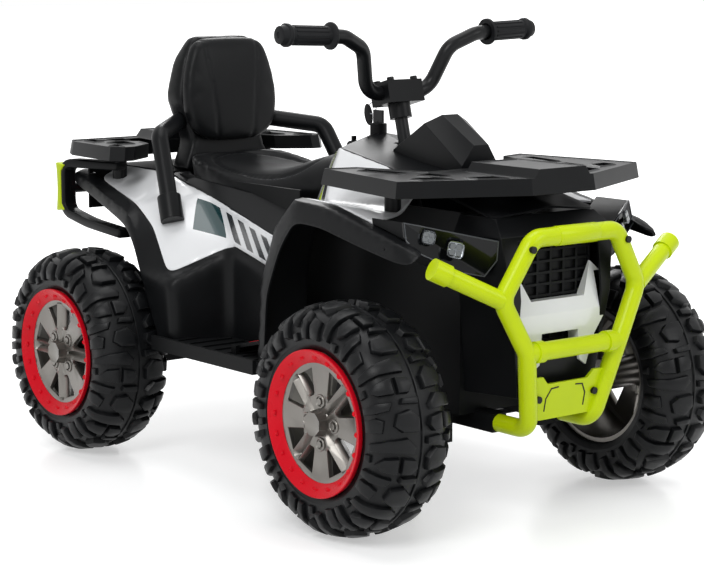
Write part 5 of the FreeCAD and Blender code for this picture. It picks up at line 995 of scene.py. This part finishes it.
# section of a grip as distance from its inner end and radius in mm
GRIP_PROFILE = [(0, 13), (0, 19.5), (1, 20.3), (4, 20.3), (5.5, 18.5), (8, GRIP_RADIUS), (76, GRIP_RADIUS),
                (78, 16.5), (80, 17.2), (84, 17.2), (85.5, 15), (90, 13.8), (94, 13.0), (95, 11.5), (95, 5),
                (93.5, 4), (93.5, 0.2)]
for side_name in ("left", "right"):
    node = "grip_" + side_name
    points = [vert.co.copy() for vert in frame["nodes"][node].data.vertices]
    inner_y = min(abs(point.y) for point in points)
    outer_y = max(abs(point.y) for point in points)
    inner = [point for point in points if abs(point.y) < inner_y + 14 * MM]
    outer = [point for point in points if abs(point.y) > outer_y - 6 * MM]
    foot = sum(inner, Vector()) / len(inner)
    heading = (sum(outer, Vector()) / len(outer) - foot).normalized()
    foot -= heading * ((abs(foot.y) - inner_y) / abs(heading.y))
    place = heading.to_track_quat("Z", "Y").to_matrix().to_4x4()
    place.translation = foot
    shape = bmesh.new()
    verts = [shape.verts.new((radius * MM, 0, along * MM)) for along, radius in GRIP_PROFILE]
    edges = [shape.edges.new(pair) for pair in zip(verts, verts[1:])]
    bmesh.ops.spin(shape, geom=verts + edges, cent=(0, 0, 0), axis=(0, 0, 1), angle=2 * math.pi, steps=40,
                   use_merge=True)
    bmesh.ops.remove_doubles(shape, verts=shape.verts, dist=0.00001)
    bmesh.ops.recalc_face_normals(shape, faces=shape.faces)
    for n in range(GRIP_RIBS):
        turn = Matrix.Rotation(2 * math.pi * n / GRIP_RIBS, 4, "Z")
        rib = turn @ Matrix.Translation((GRIP_RADIUS * MM, 0, RIB_MIDDLE)) @ RIB_SIZE
        bmesh.ops.create_cube(shape, size=1.0, matrix=rib)
    soften(shape, hard_edges(shape, 80), 0.7 * MM, clamp=True)
    bmesh.ops.transform(shape, matrix=place, verts=shape.verts)
    piece = new_piece(shape, node + "_ribbed", body_of(node), grip_pvc)
    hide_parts(node)
# red inlay pressed into the pedal's tread
INLAY_PLACE = (0.050, -0.200, 0.2262)
INLAY_SLOPE = -0.245
inlay = bmesh.new()
lie = Matrix.Translation(INLAY_PLACE) @ Matrix.Rotation(INLAY_SLOPE, 4, "Y")
bmesh.ops.create_cube(inlay, size=1.0, matrix=lie @ Matrix.Diagonal((26 * MM, 30 * MM, 1.6 * MM, 1.0)))
soften(inlay, inlay.edges[:], 0.6 * MM)
new_piece(inlay, "pedal_inlay", body_of("accelerator_pedal"), ring_red)
for node in ("ignition_switch", "direction_switch", "accelerator_pedal"):
    rounded(node, black_pp, 1.2, segments=3)
rounded("ignition_key", powder_black, 0.6)
rounded("start_button", red_lens, 1.0)
# key fob: an oval of black leather cloth on a wire ring through the key's bow
FOB_PLACE = (0.0595, 0.0, 0.5600)
FOB_SIZE = Matrix.Diagonal((9.5 * MM, 3.2 * MM, 17 * MM, 1.0))
fob = bmesh.new()
tilt = Matrix.Translation(FOB_PLACE) @ Matrix.Rotation(math.radians(-14), 4, "Y")
bmesh.ops.create_uvsphere(fob, u_segments=28, v_segments=18, radius=1.0, matrix=tilt @ FOB_SIZE)
new_piece(fob, "key_fob", body_of("ignition_key"), vinyl)
WIRE_REACH, WIRE_RADIUS, WIRE_SIDES = 9.0 * MM, 0.8 * MM, 8
wire_ring = bmesh.new()
wire = []
for n in range(WIRE_SIDES):
    turn = 2 * math.pi * n / WIRE_SIDES
    out = WIRE_REACH + WIRE_RADIUS * math.cos(turn)
    wire.append(wire_ring.verts.new((out, 0, WIRE_RADIUS * math.sin(turn))))
edges = [wire_ring.edges.new(pair) for pair in zip(wire, wire[1:] + wire[:1])]
bmesh.ops.spin(wire_ring, geom=wire + edges, cent=(0, 0, 0), axis=(0, 0, 1), angle=2 * math.pi, steps=32,
               use_merge=True)
bmesh.ops.recalc_face_normals(wire_ring, faces=wire_ring.faces)
KEY_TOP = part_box("ignition_key")[1].z
hang = Matrix.Translation((0.0690, 0, KEY_TOP + 2.0 * MM)) @ Matrix.Rotation(math.radians(80), 4, "X")
bmesh.ops.transform(wire_ring, matrix=hang, verts=wire_ring.verts)
new_piece(wire_ring, "key_ring", body_of("ignition_key"), zinc)

# Floor, light and camera: a pale studio sweep of vinyl under four soft boxes, seen as in the photograph.
# The sweep glows only for what the eye, a mirror or glass sees of it. The room is white to them too, and lights
# the vehicle at a lower level.
FLOOR_GLOW, GLOW_FROM, GLOW_FULL = 0.45, 0.5, 2.4
FLOOR_CLOUD_MM = 2000.0
ROOM_LIGHT = 0.30


def seen_rays(tree):
    """1 for rays from the camera, off a mirror or through glass."""
    rays = add(tree, "ShaderNodeLightPath").outputs
    direct = add(tree, "ShaderNodeMath", links={0: rays["Is Camera Ray"], 1: rays["Is Glossy Ray"]},
                 operation="MAXIMUM")
    return add(tree, "ShaderNodeMath", links={0: direct.outputs[0], 1: rays["Is Transmission Ray"]},
               operation="MAXIMUM").outputs[0]


floor_shape = bmesh.new()
bmesh.ops.create_grid(floor_shape, x_segments=1, y_segments=1, size=30.0)
floor_mesh = bpy.data.meshes.new("studio_floor")
floor_shape.to_mesh(floor_mesh)
floor_shape.free()
floor = bpy.data.objects.new("studio_floor", floor_mesh)
bpy.context.scene.collection.objects.link(floor)
# white studio vinyl: nearly white, a soft sheen that mirrors the wheels faintly
floor_paper, tree, surface, where = new_material("white_studio_vinyl", ior=1.4, specular=0.35)
tone = add(tree, "ShaderNodeTexNoise", {"Scale": 1000.0 / FLOOR_CLOUD_MM, "Detail": 2.0}, {"Vector": where})
colour = add(tree, "ShaderNodeMix", {6: linear("#f0f1f2"), 7: linear("#f4f5f5")}, {0: tone.outputs["Fac"]},
             data_type="RGBA")
reach = add(tree, "ShaderNodeVectorMath", links={0: where}, operation="LENGTH")
away = add(tree, "ShaderNodeMapRange",
           {"From Min": GLOW_FROM, "From Max": GLOW_FULL, "To Min": FLOOR_GLOW, "To Max": 1.0},
           {"Value": reach.outputs["Value"]}, interpolation_type="SMOOTHSTEP")
glow = add(tree, "ShaderNodeMath", links={0: seen_rays(tree), 1: away.outputs["Result"]},
           operation="MULTIPLY")
tree.links.new(colour.outputs[2], surface.inputs["Base Color"])
tree.links.new(glow.outputs[0], surface.inputs["Emission Strength"])
surface.inputs["Emission Color"].default_value = linear("#ffffff")
surface.inputs["Roughness"].default_value = 0.22
floor_mesh.materials.append(floor_paper)

world = bpy.data.worlds.new("studio_world")
bpy.context.scene.world = world
world.use_nodes = True
tree = world.node_tree
tree.nodes.clear()
strength = add(tree, "ShaderNodeMapRange", {"To Min": ROOM_LIGHT, "To Max": 1.0}, {"Value": seen_rays(tree)})
sky = add(tree, "ShaderNodeBackground", {"Color": linear("#ffffff")},
          {"Strength": strength.outputs["Result"]})
add(tree, "ShaderNodeOutputWorld", links={"Surface": sky.outputs["Background"]})

# each soft box: its place, its width in metres and its watts
LAMPS = [("key_box", (1.8, -2.6, 2.8), 1.8, 62.0), ("fill_box", (3.2, 1.2, 2.0), 1.8, 26.0),
         ("back_box", (-2.4, 1.8, 2.6), 1.6, 34.0), ("top_box", (0.0, 0.0, 3.2), 2.2, 34.0)]
LAMP_AIM = Vector((0.0, 0.0, 0.3))
for name, place, size, watts in LAMPS:
    lamp = bpy.data.lights.new(name, "AREA")
    lamp.shape = "DISK"
    lamp.size = size
    lamp.energy = watts
    lamp_object = bpy.data.objects.new(name, lamp)
    bpy.context.scene.collection.objects.link(lamp_object)
    lamp_object.location = place
    lamp_object.rotation_euler = (LAMP_AIM - Vector(place)).to_track_quat("-Z", "Y").to_euler()

CAMERA_AIM = Vector((0.0186, 0.0, 0.2885))
camera_data = bpy.data.cameras.new("photo_camera")
camera_data.sensor_fit = "HORIZONTAL"
camera_data.sensor_width = 36.0
camera_data.lens = 107.98
camera = bpy.data.objects.new("photo_camera", camera_data)
bpy.context.scene.collection.objects.link(camera)
camera.location = (2.5972, -2.0531, 0.7941)
camera.rotation_euler = (CAMERA_AIM - camera.location).to_track_quat("-Z", "Y").to_euler()
bpy.context.scene.camera = camera
bpy.context.scene.view_settings.view_transform = "Standard"
